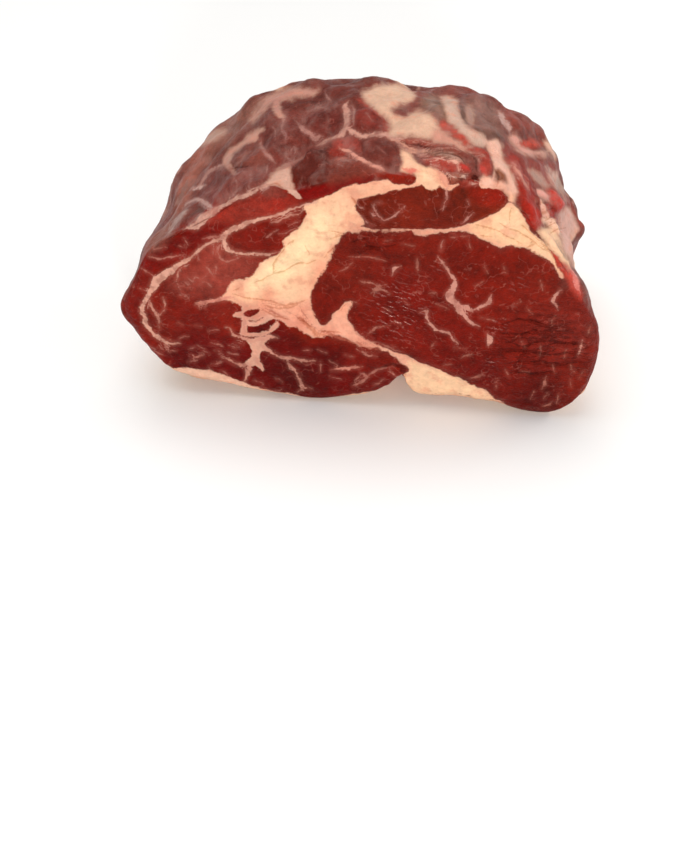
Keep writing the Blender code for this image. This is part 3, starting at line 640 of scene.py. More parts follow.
        [(385, 308, 1.2), (390, 310, 1)], [(396, 321, 1.2), (401, 323, 1)],
        [(430, 293, 1), (436, 292, 1)], [(480, 316, 1), (492, 318, 1)],
        [(462, 357, 1), (472, 353, 1)], [(385, 345, 1), (395, 346, 1.2)],
        [(590, 325, 1), (588, 333, 1)], [(584, 370, 1), (580, 378, 1)],
        [(531, 396, 1), (534, 390, 1)], [(566, 350, 1), (564, 356, 1)],
        [(353, 328, 1), (362, 337, 1.6), (374, 342, 1.6), (388, 347, 1.8), (400, 352, 1)]]),
    "seams of the small muscle": ("c48678", [
        [(446, 187, 3), (447, 192, 2.5), (446, 198, 2), (444, 203, 2), (442, 208, 2)],
        [(374, 204, 1.5), (377, 210, 1.5), (380, 215, 1.8), (384, 220, 1.5)],
        [(372, 211, 2), (375, 214, 3), (378, 212, 1.5)],
        [(384, 220, 1.2), (392, 216, 1.8), (398, 211, 1.8), (405, 206, 1)],
        [(357, 203, 1.5), (363, 207, 1.2)], [(462, 222, 1.5), (468, 216, 1.8), (472, 213, 1)],
        [(374, 203, 1.2), (381, 201, 1.2)], [(360, 216, 1), (366, 221, 1.2), (374, 223, 1)],
        [(468, 199, 1), (469, 203, 1)]]),
}

# Fine cracks and folds of the cut face, cut into the relief and darkened by painted shade: paths of (x,
# y, width)
CREASES = [
    [(272, 274, 1.2), (274, 266, 1.6), (278, 258, 1.4), (285, 249, 1), (293, 241, 0.8)],
    [(272, 274, 1.2), (283, 272, 1.6), (293, 266, 1.2), (307, 264, 1.4), (315, 261, 0.8)],
    [(255, 284, 0.8), (264, 279, 1.2), (272, 275, 0.8)], [(305, 247, 1), (309, 255, 1)],
    [(235, 296, 0.8), (252, 300, 1.4), (268, 301, 1.4), (278, 305, 2), (285, 307, 2),
     (292, 305, 1.8), (299, 303, 1.4), (307, 300, 0.8)],
    [(534, 206, 1), (541, 204, 1.6), (548, 202, 1)],
    [(537, 213, 1), (544, 211, 1.8), (551, 208, 1)],
    [(540, 221, 1), (547, 217, 1.8), (554, 215, 1)],
    [(544, 228, 1), (551, 224, 1.8), (558, 222, 1)],
    [(549, 235, 1), (556, 231, 1.6), (562, 229, 1)],
    [(330, 240, 1), (340, 237, 1.4), (348, 236, 1)], [(331, 233, 1), (343, 234, 1)],
    [(325, 257, 1), (331, 251, 1.4), (337, 245, 1)], [(262, 311, 1), (275, 317, 2), (288, 321, 1.4)],
    [(297, 320, 1), (305, 326, 2), (313, 333, 2), (321, 340, 1)],
    [(318, 334, 1), (328, 333, 1.4), (340, 334, 1)], [(510, 210, 1), (510, 221, 1.4)],
    [(482, 235, 1.4), (490, 237, 1)], [(528, 248, 1), (536, 244, 1.2)],
    [(545, 250, 1.4), (554, 250, 1)], [(540, 238, 1), (547, 246, 1.2), (551, 253, 1)],
    [(383, 367, 2), (391, 364, 3), (399, 366, 4), (404, 371, 4), (406, 377, 3)],
    [(404, 377, 2.5), (403, 383, 2)], [(352, 199, 1.5), (356, 204, 2), (355, 209, 1)],
    [(240, 288, 1), (233, 292, 1)], [(346, 305, 1), (338, 313, 1)],
    [(503, 322, 1.6), (516, 319, 2), (530, 320, 1.6), (545, 322, 1)],
    [(500, 331, 1.6), (520, 333, 2), (540, 329, 2), (560, 331, 1)],
    [(508, 341, 1.6), (524, 344, 2), (545, 340, 2), (566, 343, 1.6), (586, 342, 1)],
    [(505, 352, 1.6), (528, 350, 2), (550, 354, 2), (574, 351, 1.6)],
    [(515, 361, 1.6), (538, 360, 2), (560, 363, 2), (580, 361, 1)],
    [(512, 371, 1), (532, 372, 1.6), (552, 370, 1.4)],
    [(362, 245, 1), (380, 246, 1.2), (400, 243, 1)], [(352, 240, 1), (366, 238, 1)],
    [(455, 176, 1), (464, 179, 1.4), (474, 178, 1)],
    [(402, 143, 1), (420, 147, 1.4), (445, 147, 1.4), (465, 151, 1.2), (476, 160, 1)],
    [(426, 154, 1), (445, 155, 1.4), (460, 158, 1.4), (468, 168, 1)],
    [(470, 155, 1), (476, 164, 1.4), (478, 174, 1.2)], [(420, 157, 1), (432, 161, 1.2)],
    [(446, 173, 1.6), (451, 181, 1.8)], [(474, 176, 2), (480, 180, 2)],
    [(494, 167, 1.6), (497, 178, 1.8), (496, 186, 1.2)],
    [(296, 166, 1), (306, 160, 1.2)],
    [(233, 168, 1), (242, 167, 1.2), (250, 168, 1)],
    [(268, 185, 1), (276, 183, 1.2), (284, 188, 1)],
    [(476, 225, 0.8), (490, 229, 1), (505, 236, 1), (520, 243, 0.8)],
    [(500, 224, 0.8), (515, 232, 1), (530, 240, 1), (543, 249, 0.8)],
    [(522, 226, 0.8), (533, 235, 1), (546, 247, 1), (556, 260, 0.8)],
    [(262, 306, 1), (275, 309, 1.6), (288, 309, 1.6), (298, 305, 1)],
    [(300, 318, 1), (308, 326, 1.8), (318, 334, 1.6), (330, 337, 1)],
]

# Soft changes of the muscle's colour on the face, some of them painted shade and painted light: a tone,
# then spots of x, y, reach, strength
LEAN_TINTS = {
    "plain red": ("6a160f", [
        (400, 300, 40, 0.6), (450, 350, 40, 0.5), (330, 300, 14, 0.5), (375, 340, 16, 0.5),
        (200, 320, 28, 0.6), (350, 385, 14, 0.5), (255, 236, 12, 0.5), (190, 240, 14, 0.5),
        (135, 300, 10, 0.5), (130, 318, 10, 0.4)]),
    "drier red": ("782a24", [(560, 330, 34, 0.7), (590, 330, 16, 0.7)]),
    "deep red and painted shade": ("570f0a", [
        # painted shade low on the face, over the muscle's own deeper red
        (480, 375, 26, 0.7), (185, 350, 20, 0.7), (275, 365, 14, 0.5), (320, 385, 14, 0.6)]),
    "darkest red and painted shade": ("490b07", [(535, 400, 30, 0.8), (300, 380, 24, 0.7), (325, 356, 12, 0.7)]),
    "brown red": ("6f2119", [
        (350, 270, 34, 0.7), (585, 380, 20, 0.6), (540, 280, 24, 0.5), (420, 250, 30, 0.5),
        (400, 200, 20, 0.4), (440, 215, 24, 0.4)]),
    # painted light on the face's left middle, over a paler red of the muscle
    "pale red and painted light": ("8f3f36", [(225, 275, 26, 0.6)]),
    "fresh red": ("7c2019", [
        (240, 315, 14, 0.5), (355, 350, 16, 0.6), (370, 370, 16, 0.6), (280, 246, 8, 0.6)]),
    "bright red": ("8f231c", [(497, 195, 7, 0.5), (215, 210, 10, 0.5), (280, 203, 12, 0.6)]),
}

# The same for the fat of the face
FAT_TINTS = {
    "cream": ("fadbad", [
        (300, 250, 22, 0.9), (278, 272, 18, 0.9), (320, 228, 18, 0.8), (255, 285, 14, 0.8)]),
    "yellow": ("f5c9a1", [
        (335, 205, 16, 0.6), (290, 296, 10, 0.7), (440, 385, 18, 0.8), (470, 391, 14, 0.7),
        (415, 376, 8, 0.7), (510, 224, 14, 0.8), (540, 250, 10, 0.7)]),
    "pink": ("f3b493", [(400, 186, 20, 0.6), (360, 192, 12, 0.6)]),
    "cream of the rim": ("f8c89f", [(425, 176, 9, 0.8)]),
    "rosy": ("ee9f80", [
        (268, 294, 7, 0.9), (322, 268, 11, 0.8), (318, 285, 9, 0.7), (300, 312, 10, 0.7),
        (262, 305, 10, 0.7), (342, 312, 8, 0.7)]),
    "reddish": ("dc8b73", [(300, 326, 9, 0.8), (330, 335, 10, 0.7), (365, 345, 12, 0.7)]),
    "dull pink": ("cf8f78", [(400, 229, 30, 0.8)]),
    "rosy edges": ("e9a387", [
        (240, 286, 7, 0.7), (455, 184, 10, 0.6), (500, 186, 8, 0.6), (303, 216, 6, 0.7),
        (292, 230, 6, 0.7), (283, 243, 6, 0.7), (268, 256, 6, 0.7), (256, 266, 6, 0.7),
        (244, 277, 6, 0.7), (229, 294, 7, 0.6), (333, 250, 6, 0.6), (311, 302, 7, 0.6)]),
}

# Colours that the drawing doesn't give
BASE_LEAN, BASE_FAT = "6e3b35", "d9a890"       # of the outside where nothing else is drawn
HIDDEN_LEAN = [("6d2f29", 34, 51), ("84443c", 21, 53), ("5d1f1b", 47, 55)]     # colour, mm, seed
FAT_CAP, FAT_CAP_DEEP = "e6c3a0", "d9a688"     # of the hidden sides' fat
HIDDEN_SEAM = "b98474"
FLECK, THREAD = "b8705f", "b0675a"             # of the marbling that is too small to draw
THIN_SKIN_AND_SHEEN, BLUSH = "a07a70", "d88a70"               # of a pale film over muscle, partly thin skin and partly painted sheen, and of redder fat
CREASE_SHADE_IN_FAT = (0.72, 0.52, 0.40, 1.0)         # painted shade of a crease: what it leaves of red, green and blue
CREASE_SHADE_IN_LEAN = (0.40, 0.30, 0.28, 1.0)

# The pale sheen over muscle is taken off its drawn colours: what is left of red, green and
# blue, and what is taken off them after that, in linear terms
SHEEN_SHARE = np.array([1.02, 0.90, 0.84])
SHEEN = np.array([0.001, 0.004, 0.0046])
LEAST_LEFT = 0.3

# How the drawing is laid on the skin
START_EDGE = 20.0        # pixels into the muscle that the skin starts from
FAR_OFF = 8.0            # pixels from a fine line beyond which nothing of it is traced
THIN = 6.5               # a streak narrower than this many pixels is drawn as a fine line
EDGE_REACH = 9.0         # pixels from an edge beyond which two skins blend as if equally far in

# Size and strength of the drawn lines' unevenness, in pixels, and a seed
WOBBLES = [(11.0, 1.1, 3), (5.0, 0.9, 5)]
OUTSIDE_WOBBLES = [(17.0, 2.2, 11), (8.0, 1.3, 13)]
FAR_WOBBLES = [(60.0, 9.0, 81), (23.0, 4.0, 83)]     # of the face's drawing on the far end

# Where the face is wet and where it is wrinkled, its wrinkles darkened by painted shade: x, y, reach in
# pixels and strength
WET_SPOTS = [(398, 310, 26, 1.0), (438, 264, 6, 0.8), (498, 326, 8, 0.8), (519, 283, 7, 0.8),
             (492, 361, 6, 0.7), (560, 270, 8, 0.7), (385, 290, 10, 0.8)]
WRINKLED_SPOTS = [(548, 338, 34, 1.0), (520, 350, 26, 0.9), (575, 350, 24, 0.8),
                  (376, 243, 22, 0.5)]

# What the skin holds at each point, and the mesh after it
SKIN_MEASURES = ("edge", "seam_gap", "seam_across", "seam_half",
                 "crease_gap", "crease_across", "crease_half")
SKIN_COLOURS = ("lean_colour", "fat_colour", "seam_colour")

# Coordinates in which a pattern comes out longer: how far their axes are turned about Y, how
# many times longer along X, Y and Z, and how far up the pattern is moved, in millimetres
STRETCHES = {
    "grain": (0.9, (1.0, 1.0, 2.2), 0.0),
    "threads": (0.3, (1.3, 1.0, 1.0), 0.0),
    "strands": (0.0, (1.0, 1.8, 1.0), 0.0),
    "folds": (0.06, (3.4, 1.0, 1.0), 0.0),
    "beads": (0.32, (2.4, 1.0, 1.0), 0.0),
    "beads raised": (0.32, (2.4, 1.0, 1.0), 0.4),
    "beads lowered": (0.32, (2.4, 1.0, 1.0), -0.4),
}

# Noises of the beef: the size of what they show in millimetres, detail, roughness and which
# coordinates. The grain and the film are a little coarser than the real ones, to show at all.
NOISES = {
    "fine": (1.1, 3.0, 0.55, "even"),                  # grain of the muscle
    "middling": (3.4, 3.0, 0.55, "even"),              # its bundles
    "broad": (14.0, 2.0, 0.55, "even"),
    "flecks": (1.7, 4.0, 0.62, "grain"),               # specks of marbling
    "fleck areas": (9.0, 2.0, 0.55, "even"),
    "threads": (8.0, 2.0, 0.5, "even"),                # meshes of the thinnest marbling
    "thread areas": (8.0, 2.0, 0.5, "threads"),
    "skin and sheen": (7.0, 4.0, 0.6, "strands"),                # strands of thin skin and of painted sheen
    "blush": (6.0, 3.0, 0.55, "even"),
    "breaks": (4.5, 3.0, 0.55, "even"),                # where fine seams fade
    "folds": (4.0, 3.0, 0.6, "folds"),                 # wrinkles
    "film": (0.55, 2.0, 0.55, "even"),                 # unevenness of the wet film
    "beads": (1.9, 1.0, 0.5, "beads"),                 # standing juice
    "beads raised": (1.9, 1.0, 0.5, "beads raised"),
    "beads lowered": (1.9, 1.0, 0.5, "beads lowered"),
}

# Between which values a noise comes to show
SHOWING = {
    "flecks": (0.60, 0.70),
    "fleck areas": (0.42, 0.62),
    "thread areas": (0.44, 0.62),
    "skin and sheen": (0.44, 0.74),
    "blush": (0.50, 0.72),
    "breaks": (0.36, 0.56),
}

# Half widths of the thin winding lines in which a noise is at its middle, as its values
WINDING = {"threads": 0.018, "folds": 0.06}

# Amounts on the cut face and outside it: edges in pixels, and shares
AMOUNTS = {
    "fine edge": (2.2, 1.4),
    "middling edge": (4.5, 5.0),
    "edge softness": (0.8, 2.6),
    "flecks": (0.34, 0.10),
    "skin and sheen": (0.0, 0.34),
    "seam softness": (0.55, 1.1),
}

# The sides that the photograph shows, by how far their skin turns towards the eye
SEEN_FROM, SEEN_WHOLLY = 0.0, 0.16
FAR_END_FROM, FAR_END_WHOLLY = 0.55, 0.9       # the far end's, by how far it turns to the back

# Lights: place and side in metres, and watts
LIGHTS = {
    "overhead": ((-0.2, 0.1, 1.2), 1.0, 9.6),
    "front": ((0.25, -1.1, 0.5), 0.13, 4.3),
    "low front": ((0.15, -1.0, 0.13), 0.12, 1.2),
    "side": ((1.0, 0.35, 0.55), 0.6, 3.0),
}
LIT_POINT = (0.0, 0.0, 0.06)
SURROUNDINGS = 0.5       # strength of the white light from all round


def ease(t, low, high):
    """0 below low, 1 above high, and a smooth S between."""
    t = np.clip((np.asarray(t, dtype=float) - low) / (high - low), 0.0, 1.0)
    return t * t * (3.0 - 2.0 * t)


def linear(colour):
    """An sRGB hex colour as linear red, green and blue."""
    s = np.array([int(colour[i:i + 2], 16) for i in (0, 2, 4)]) / 255.0
    return np.where(s <= 0.04045, s / 12.92, ((s + 0.055) / 1.055) ** 2.4)


def deepened(colour):
    """Muscle's linear colour less the pale sheen that lies over it."""
    full = linear(colour)
    return np.maximum(full * SHEEN_SHARE - SHEEN, LEAST_LEFT * full)


def smooth_noise(place, size, seed):
    """Noise from -1 to 1 with features of a given size: random values on a cubic lattice,
    blended between its corners by an S curve. A corner's value is its whole-number place
    and the seed, hashed."""
    q = place / size + 19.7 * seed
    cell = np.floor(q).astype(np.int64)
    part = q - cell
    part = part * part * (3.0 - 2.0 * part)
    total = np.zeros(len(place))
    for corner in product((0, 1), repeat=3):
        c = cell + corner
        code = c[:, 0] * 73856093 ^ c[:, 1] * 19349663 ^ c[:, 2] * 83492791 ^ seed * 7919
        code = ((code & 0xFFFFFFF) * 1103515245 + 12345) & 0x7FFFFFFF
        code = ((code >> 7) * 69069 + 1) & 0xFFFFFF
        total += (code / 0x7FFFFF - 1.0) * np.where(corner, part, 1.0 - part).prod(axis=1)
    return total


def photo_camera():
    """Eye point and the view's right, up and back directions, from where ANCHOR is seen."""
    back = np.array([np.sin(LOOK_FROM_RIGHT) * np.cos(LOOK_DOWN),
                     -np.cos(LOOK_FROM_RIGHT) * np.cos(LOOK_DOWN), np.sin(LOOK_DOWN)])
    right = np.array([np.cos(LOOK_FROM_RIGHT), np.sin(LOOK_FROM_RIGHT), 0.0])
    up = np.cross(back, right)
    depth = FOCAL_PX / PX_PER_M
    aside = (ANCHOR_PX - (PHOTO_WIDTH / 2, PHOTO_HEIGHT / 2)) / PX_PER_M
    return ANCHOR - aside[0] * right + aside[1] * up + depth * back, right, up, back


def photo_pixels(place):
    """Where points are seen in the photograph's frame."""
    eye, right, up, back = photo_camera()
    rel = place - eye
    depth = -(rel @ back)
    return np.stack([PHOTO_WIDTH / 2 + FOCAL_PX * (rel @ right) / depth,
                     PHOTO_HEIGHT / 2 - FOCAL_PX * (rel @ up) / depth], axis=1)


def smooth_path(points, closed, steps=5):
    """A Catmull-Rom curve through the points, in that many steps from each to the next."""
    p = np.array(points, dtype=float)
    if closed:
        q = np.vstack([p[-1:], p, p[:2]])
    else:
        q = np.vstack([2 * p[:1] - p[1:2], p, 2 * p[-1:] - p[-2:-1]])
    before, start, after, beyond = [run[:, None] for run in (q[:-3], q[1:-2], q[2:-1], q[3:])]
    t = np.linspace(0.0, 1.0, steps, endpoint=False)[None, :, None]
    curve = 0.5 * (2 * start + (after - before) * t
                   + (2 * before - 5 * start + 4 * after - beyond) * t**2
                   + (3 * start - before - 3 * after + beyond) * t**3)
    curve = curve.reshape(-1, p.shape[1])
    return np.vstack([curve, curve[:1] if closed else p[-1:]])


def nearest_on(px, path):
    """Signed distance of each point from a path, positive on its right, and the nearest
    stretch and the share along it."""
    a, along = path[:-1, :2], np.diff(path[:, :2], axis=0)
    rel = px[:, None] - a[None]
    t = np.clip((rel * along).sum(axis=2) / (along ** 2).sum(axis=1), 0.0, 1.0)
    gap = np.hypot(rel[..., 0] - t * along[:, 0], rel[..., 1] - t * along[:, 1])
    near = gap.argmin(axis=1)
    rows = np.arange(len(px))
    turn = along[near, 0] * rel[rows, near, 1] - along[near, 1] * rel[rows, near, 0]
    return np.where(turn < 0.0, -1.0, 1.0) * gap[rows, near], near, t[rows, near]


def into_patch(px, ring):
    """How far each point lies inside a closed outline, negative outside. A point is inside
    where a line from it to the right crosses the outline an odd number of times."""
    gap = np.abs(nearest_on(px, ring)[0])
    a, b = ring[:-1], ring[1:]
    rise = np.where(b[:, 1] == a[:, 1], 1.0, b[:, 1] - a[:, 1])
    spans = (a[:, 1] > px[:, 1:]) != (b[:, 1] > px[:, 1:])
    crossing = a[:, 0] + (b[:, 0] - a[:, 0]) * (px[:, 1:] - a[:, 1]) / rise
    inside = (spans & (px[:, :1] < crossing)).sum(axis=1) % 2 == 1
    return np.where(inside, gap, -gap)


def into_streak(px, path):
    """For each point: signed distance across a path of some width, and half that width."""
    across, near, t = nearest_on(px, path)
    half = np.maximum(path[near, 2] * (1.0 - t) + path[near + 1, 2] * t, 0.5) / 2.0
    return across, half


def tapered(run):
    """The path with its width falling to two fifths over the last few pixels of either end."""
    step = np.hypot(*np.diff(run[:, :2], axis=0).T)
    along = np.concatenate([[0.0], np.cumsum(step)])
    to_end = np.minimum(along, along[-1] - along)
    return np.column_stack([run[:, :2], run[:, 2] * (0.4 + 0.6 * ease(to_end, 0.0, 5.0))])


def close_to(px, run, margin):
    """Which points lie in the box round a run of points, widened by a margin."""
    low, high = run[:, :2].min(axis=0) - margin, run[:, :2].max(axis=0) + margin
    return np.flatnonzero(((px > low) & (px < high)).all(axis=1))


def spotted(px, spots):
    """The strongest of some soft round spots at each point: strength exp(-r r)."""
    found = np.zeros(len(px))
    for x, y, reach, strength in spots:
        far = np.hypot(px[:, 0] - x, px[:, 1] - y) / reach
        found = np.maximum(found, strength * np.exp(-far * far))
    return found


class Skin:
    """What is drawn at each point of the skin, given by its place in the photograph's frame.

    edge                      pixels into the muscle, negative in fat
    lean_colour, fat_colour   the two colours, of which edge chooses one
    relief                    height out of the skin in millimetres
    seam, crease              the nearest fine line: pixels out of it (gap), signed pixels
                              across it, half its width, and the seam's own colour
    """

    def __init__(self, px):
        count = len(px)
        self.px = px
        self.edge = np.full(count, START_EDGE)
        self.lean_colour = np.tile(deepened(BASE_LEAN), (count, 1))
        self.fat_colour = np.tile(linear(BASE_FAT), (count, 1))
        self.relief = np.zeros(count)
        self.seam_gap = np.full(count, FAR_OFF)
        self.seam_across = np.full(count, FAR_OFF)
        self.seam_half = np.full(count, 0.5)
        self.seam_colour = np.tile(linear(BASE_FAT), (count, 1))
        self.crease_gap = np.full(count, FAR_OFF)
        self.crease_across = np.full(count, FAR_OFF)
        self.crease_half = np.full(count, 0.5)

    def patch(self, tissue, colour, softness, height, shape):
        """Draw an area over what is there: its tissue, its colour with a soft edge, and its
        height. The depth into a soft patch counts for less, so that its edge is soft too."""
        streak = len(shape[0]) == 3
        run = smooth_path(shape, closed=not streak)
        pick = close_to(self.px, run, 3 * softness + 8)
        if not len(pick):
            return
        if streak:
            across, half = into_streak(self.px[pick], run)
            depth = half - np.abs(across)
        else:
            depth = into_patch(self.px[pick], run)
        into = depth * min(1.0, 3.0 / softness)
        if tissue == LEAN:
            self.edge[pick] = np.maximum(self.edge[pick], into)
            side, tone = self.lean_colour, deepened(colour)
        else:
            self.edge[pick] = np.minimum(self.edge[pick], -into)
            side, tone = self.fat_colour, linear(colour)
        share = ease(depth, -softness, softness)[:, None]
        side[pick] = side[pick] * (1.0 - share) + tone * share
        self.relief[pick] += height * ease(depth, -0.5, 5.0)

    def tint(self, side, tone, spots):
        """Bring a colour nearer to a tone round some spots, by strength exp(-r r)."""
        for spot in spots:
            share = spotted(self.px, [spot])[:, None]
            side[:] = side * (1.0 - share) + tone * share

    def line(self, kind, path, height=0.0):
        """Trace a fine line, which hides the others of its kind where it is the closest."""
        run = tapered(smooth_path(path, closed=False))
        pick = close_to(self.px, run, 10)
        across, half = into_streak(self.px[pick], run)
        gap = np.abs(across) - half
        closer = gap < getattr(self, kind + "_gap")[pick]
        rows = pick[closer]
        getattr(self, kind + "_gap")[rows] = gap[closer]
        getattr(self, kind + "_across")[rows] = np.clip(across[closer], -FAR_OFF, FAR_OFF)
        getattr(self, kind + "_half")[rows] = half[closer]
        self.relief[pick] += height * (1.0 - ease(gap, -2.0, 1.5))
        return rows

    def seam(self, colour, path, height=0.0):
        """Trace a fine seam in its own colour."""
        self.seam_colour[self.line("seam", path, height)] = linear(colour)


def wobbled(px, wobbles):
    """The points moved about by noise, so that no drawn line runs straight."""
    flat = np.column_stack([px, np.zeros(len(px))])
    moved = px.copy()
    for size, strength, seed in wobbles:
        moved[:, 0] += strength * smooth_noise(flat, size, seed)
        moved[:, 1] += strength * smooth_noise(flat, size, seed + 1)
    return moved


def drawn_skin(px, on_face):
    """The whole drawing at these places of the photograph's frame."""
    face = on_face[:, None]
    skin = Skin(wobbled(px, WOBBLES) * face + wobbled(px, OUTSIDE_WOBBLES) * (1.0 - face))
    for tissue, colour, softness, height, shape in (DRAWING | OUTSIDE_DRAWING).values():
        if len(shape[0]) == 3 and max(point[2] for point in shape) < THIN:
            skin.seam(colour, shape, height)
        else:
            skin.patch(tissue, colour, softness, height, shape)
    for colour, paths in MARBLING.values():
        for path in paths:
            skin.seam(colour, path)
    for path in CREASES:
        skin.line("crease", path)
    for colour, spots in LEAN_TINTS.values():
        skin.tint(skin.lean_colour, deepened(colour), spots)
    for colour, spots in FAT_TINTS.values():
        skin.tint(skin.fat_colour, linear(colour), spots)
    return skin


def smooth_stretches(stretches, counts, fineness=24):
    """One closed cubic curve through all the stretches' points, cut back into stretches
    of equal steps, counts of them in each. Its slope at a point is the mean of the slopes
    to its neighbours, the nearer one's counting for more."""
    knots = np.array([p for stretch in stretches for p in stretch[:-1]], dtype=float)
    after = np.roll(knots, -1, axis=0)
    gap = np.linalg.norm(after - knots, axis=1)[:, None]
    gap_before = np.roll(gap, 1, axis=0)
    slope = (after - knots) / gap
    tangent = (slope * gap_before + np.roll(slope, 1, axis=0) * gap) / (gap + gap_before)
    t = np.linspace(0.0, 1.0, fineness, endpoint=False)[None, :, None]
    curve = ((2 * t**3 - 3 * t**2 + 1) * knots[:, None]
             + (t**3 - 2 * t**2 + t) * (tangent * gap)[:, None]
             + (3 * t**2 - 2 * t**3) * after[:, None]
             + (t**3 - t**2) * (np.roll(tangent, -1, axis=0) * gap)[:, None]).reshape(-1, 2)
    curve = np.vstack([curve, curve[:1]])
    runs, start = [], 0
    for stretch, count in zip(stretches, counts):
        stop = start + (len(stretch) - 1) * fineness
        run = curve[start:stop + 1]
        step = np.linalg.norm(np.diff(run, axis=0), axis=1)
        length = np.concatenate([[0.0], np.cumsum(step)])
        steps = np.linspace(0.0, length[-1], count + 1)
        runs.append(np.stack([np.interp(steps, length, run[:, axis]) for axis in (0, 1)], axis=1))
        start = stop
    return runs


def face_outline():
    """The cut face's outline in metres, as wide and high as the driving sizes."""
    runs = smooth_stretches([CAP_END, RIB_SIDE, EYE_END, BASE_SIDE], [UP, ACROSS, UP, ACROSS])
    ring = np.vstack([run[:-1] for run in runs])
    size = ring.max(axis=0) - ring.min(axis=0)
    return (ring - [0.0, ring[:, 1].min()]) * (FACE_WIDTH, FACE_HEIGHT) / size


def evened(ring, reach):
    """The ring smoothed along itself by a Gaussian of that reach."""
    step = np.linalg.norm(np.roll(ring, -1, axis=0) - ring, axis=1).mean()
    waves = np.fft.fftfreq(len(ring))
    keep = np.exp(-2.0 * (np.pi * waves * reach / step) ** 2)
    return np.real(np.fft.ifft(np.fft.fft(ring, axis=0) * keep[:, None], axis=0))


def draw_in(depth, rounding, share):
    """Size of a section at this depth inside an end, for a quarter-round edge:
    1 - share (1 - sqrt(1 - q q)), with q falling from 1 at the end to 0 at the rounding's."""
    q = np.clip(1.0 - depth / rounding, 0.0, 1.0)
    return 1.0 - share * (1.0 - np.sqrt(1.0 - q * q))


def stations():
    """Places along the length, 0 at the face and 1 at the far end, closer at both ends:
    steps go as 1 / (1 + 2.2 exp(-t / 0.05) + 0.8 exp(-(1 - t) / 0.1))."""
    t = np.linspace(0.0, 1.0, 2000)
    density = 1.0 + 2.2 * np.exp(-t / 0.05) + 0.8 * np.exp(-(1.0 - t) / 0.10)
    total = np.concatenate([[0.0], np.cumsum((density[1:] + density[:-1]) / 2.0)])
    return np.interp(np.linspace(0.0, total[-1], ROWS + 1), total, t)


def section(face, even, s):
    """The ring of points a share s of the way from the cut face to the far end: the face's
    outline eased into its smoothed one, tapered at the cap and swollen at the eye, its top
    raised and then let fall, its underside sagging, and the whole drawn in at both ends."""
    blend = ease(s, 0.0, SOFT_BY)
    ring = face * (1.0 - blend) + even * blend
    x, z = ring[:, 0], ring[:, 1]
    side = ease(x, -90 * MM, 90 * MM)
    cap_width = 1.0 - CAP_TAPER * ease(s, 0.05, 0.95)
    eye_width = 1.0 + EYE_SWELL * ease(s, 0.05, 1.0)
    rise = CREST * np.sin(np.pi * min(s / CREST_END, 1.0))
    fall = (CAP_FALL * (1.0 - side) + EYE_FALL * side) * ease(s, 0.3, 1.0)
    height = z + ease(z, 50 * MM, 120 * MM) * (rise - fall)
    height = height - (1.0 - ease(height, *SAG_ZONE)) * BASE_SAG * ease(s, 0.02, 0.25)
    size = draw_in(s * LENGTH, RIM_ROUND, RIM_DRAW) * draw_in((1.0 - s) * LENGTH, FAR_ROUND, FAR_DRAW)
    x = MIDDLE[0] + (x * np.where(x < 0.0, cap_width, eye_width) - MIDDLE[0]) * size
    height = MIDDLE[1] + (height - MIDDLE[1]) * size
    y = (s - 0.5) * LENGTH + RIM_BEND * np.exp(-s * LENGTH / RIM_BEND_REACH)
    return np.stack([x, np.full(len(x), y), height], axis=1)


def grid_ring(grid):
    """The edge of a grid in the outline's order."""
    return np.concatenate([grid[0, :-1], grid[:-1, -1], grid[-1, :0:-1], grid[:0:-1, 0]])


def filled(ring, across, up):
    """Points [across, up] inside a ring, blended from its four stretches:
    (1-u) left + u right + (1-v) base + v top - the four corners' blend."""
    corner = np.cumsum([0, up, across, up, across])
    closed = np.vstack([ring, ring[:1]])
    left, top, right, base = [closed[a:b + 1] for a, b in zip(corner[:-1], corner[1:])]
    right, base = right[::-1], base[::-1]
    u = np.linspace(0.0, 1.0, across + 1)[:, None, None]
    v = np.linspace(0.0, 1.0, up + 1)[None, :, None]
    corners = ((1 - u) * (1 - v) * left[0] + (1 - u) * v * left[-1]
               + u * (1 - v) * right[0] + u * v * right[-1])
    sides = (1 - u) * left[None] + u * right[None]
    return sides + (1 - v) * base[:, None] + v * top[:, None] - corners


def steps_from_edge(across, up):
    """For each point [across, up] of a grid, how many steps it is from the nearest edge."""
    i, j = np.arange(across + 1), np.arange(up + 1)
    return np.minimum(np.minimum(i, across - i)[:, None], np.minimum(j, up - j)[None])


def quads(a, b, c, d):
    """Four-cornered faces from four grids of point numbers, one for each corner."""
    return np.stack([a.ravel(), b.ravel(), c.ravel(), d.ravel()], axis=1).tolist()


def kept_on_sides():
    """Which of the face's outline points the sides go on from."""
    flank, top, base = np.arange(0, UP, 2), np.arange(ACROSS), np.arange(0, ACROSS, 4)
    return np.concatenate([flank, UP + top, UP + ACROSS + flank, 2 * UP + ACROSS + base])


def shrunk(ring, share):
    """The ring drawn together about the middle of its box."""
    middle = (ring.min(axis=0) + ring.max(axis=0)) / 2.0
    return middle + (ring - middle) * share


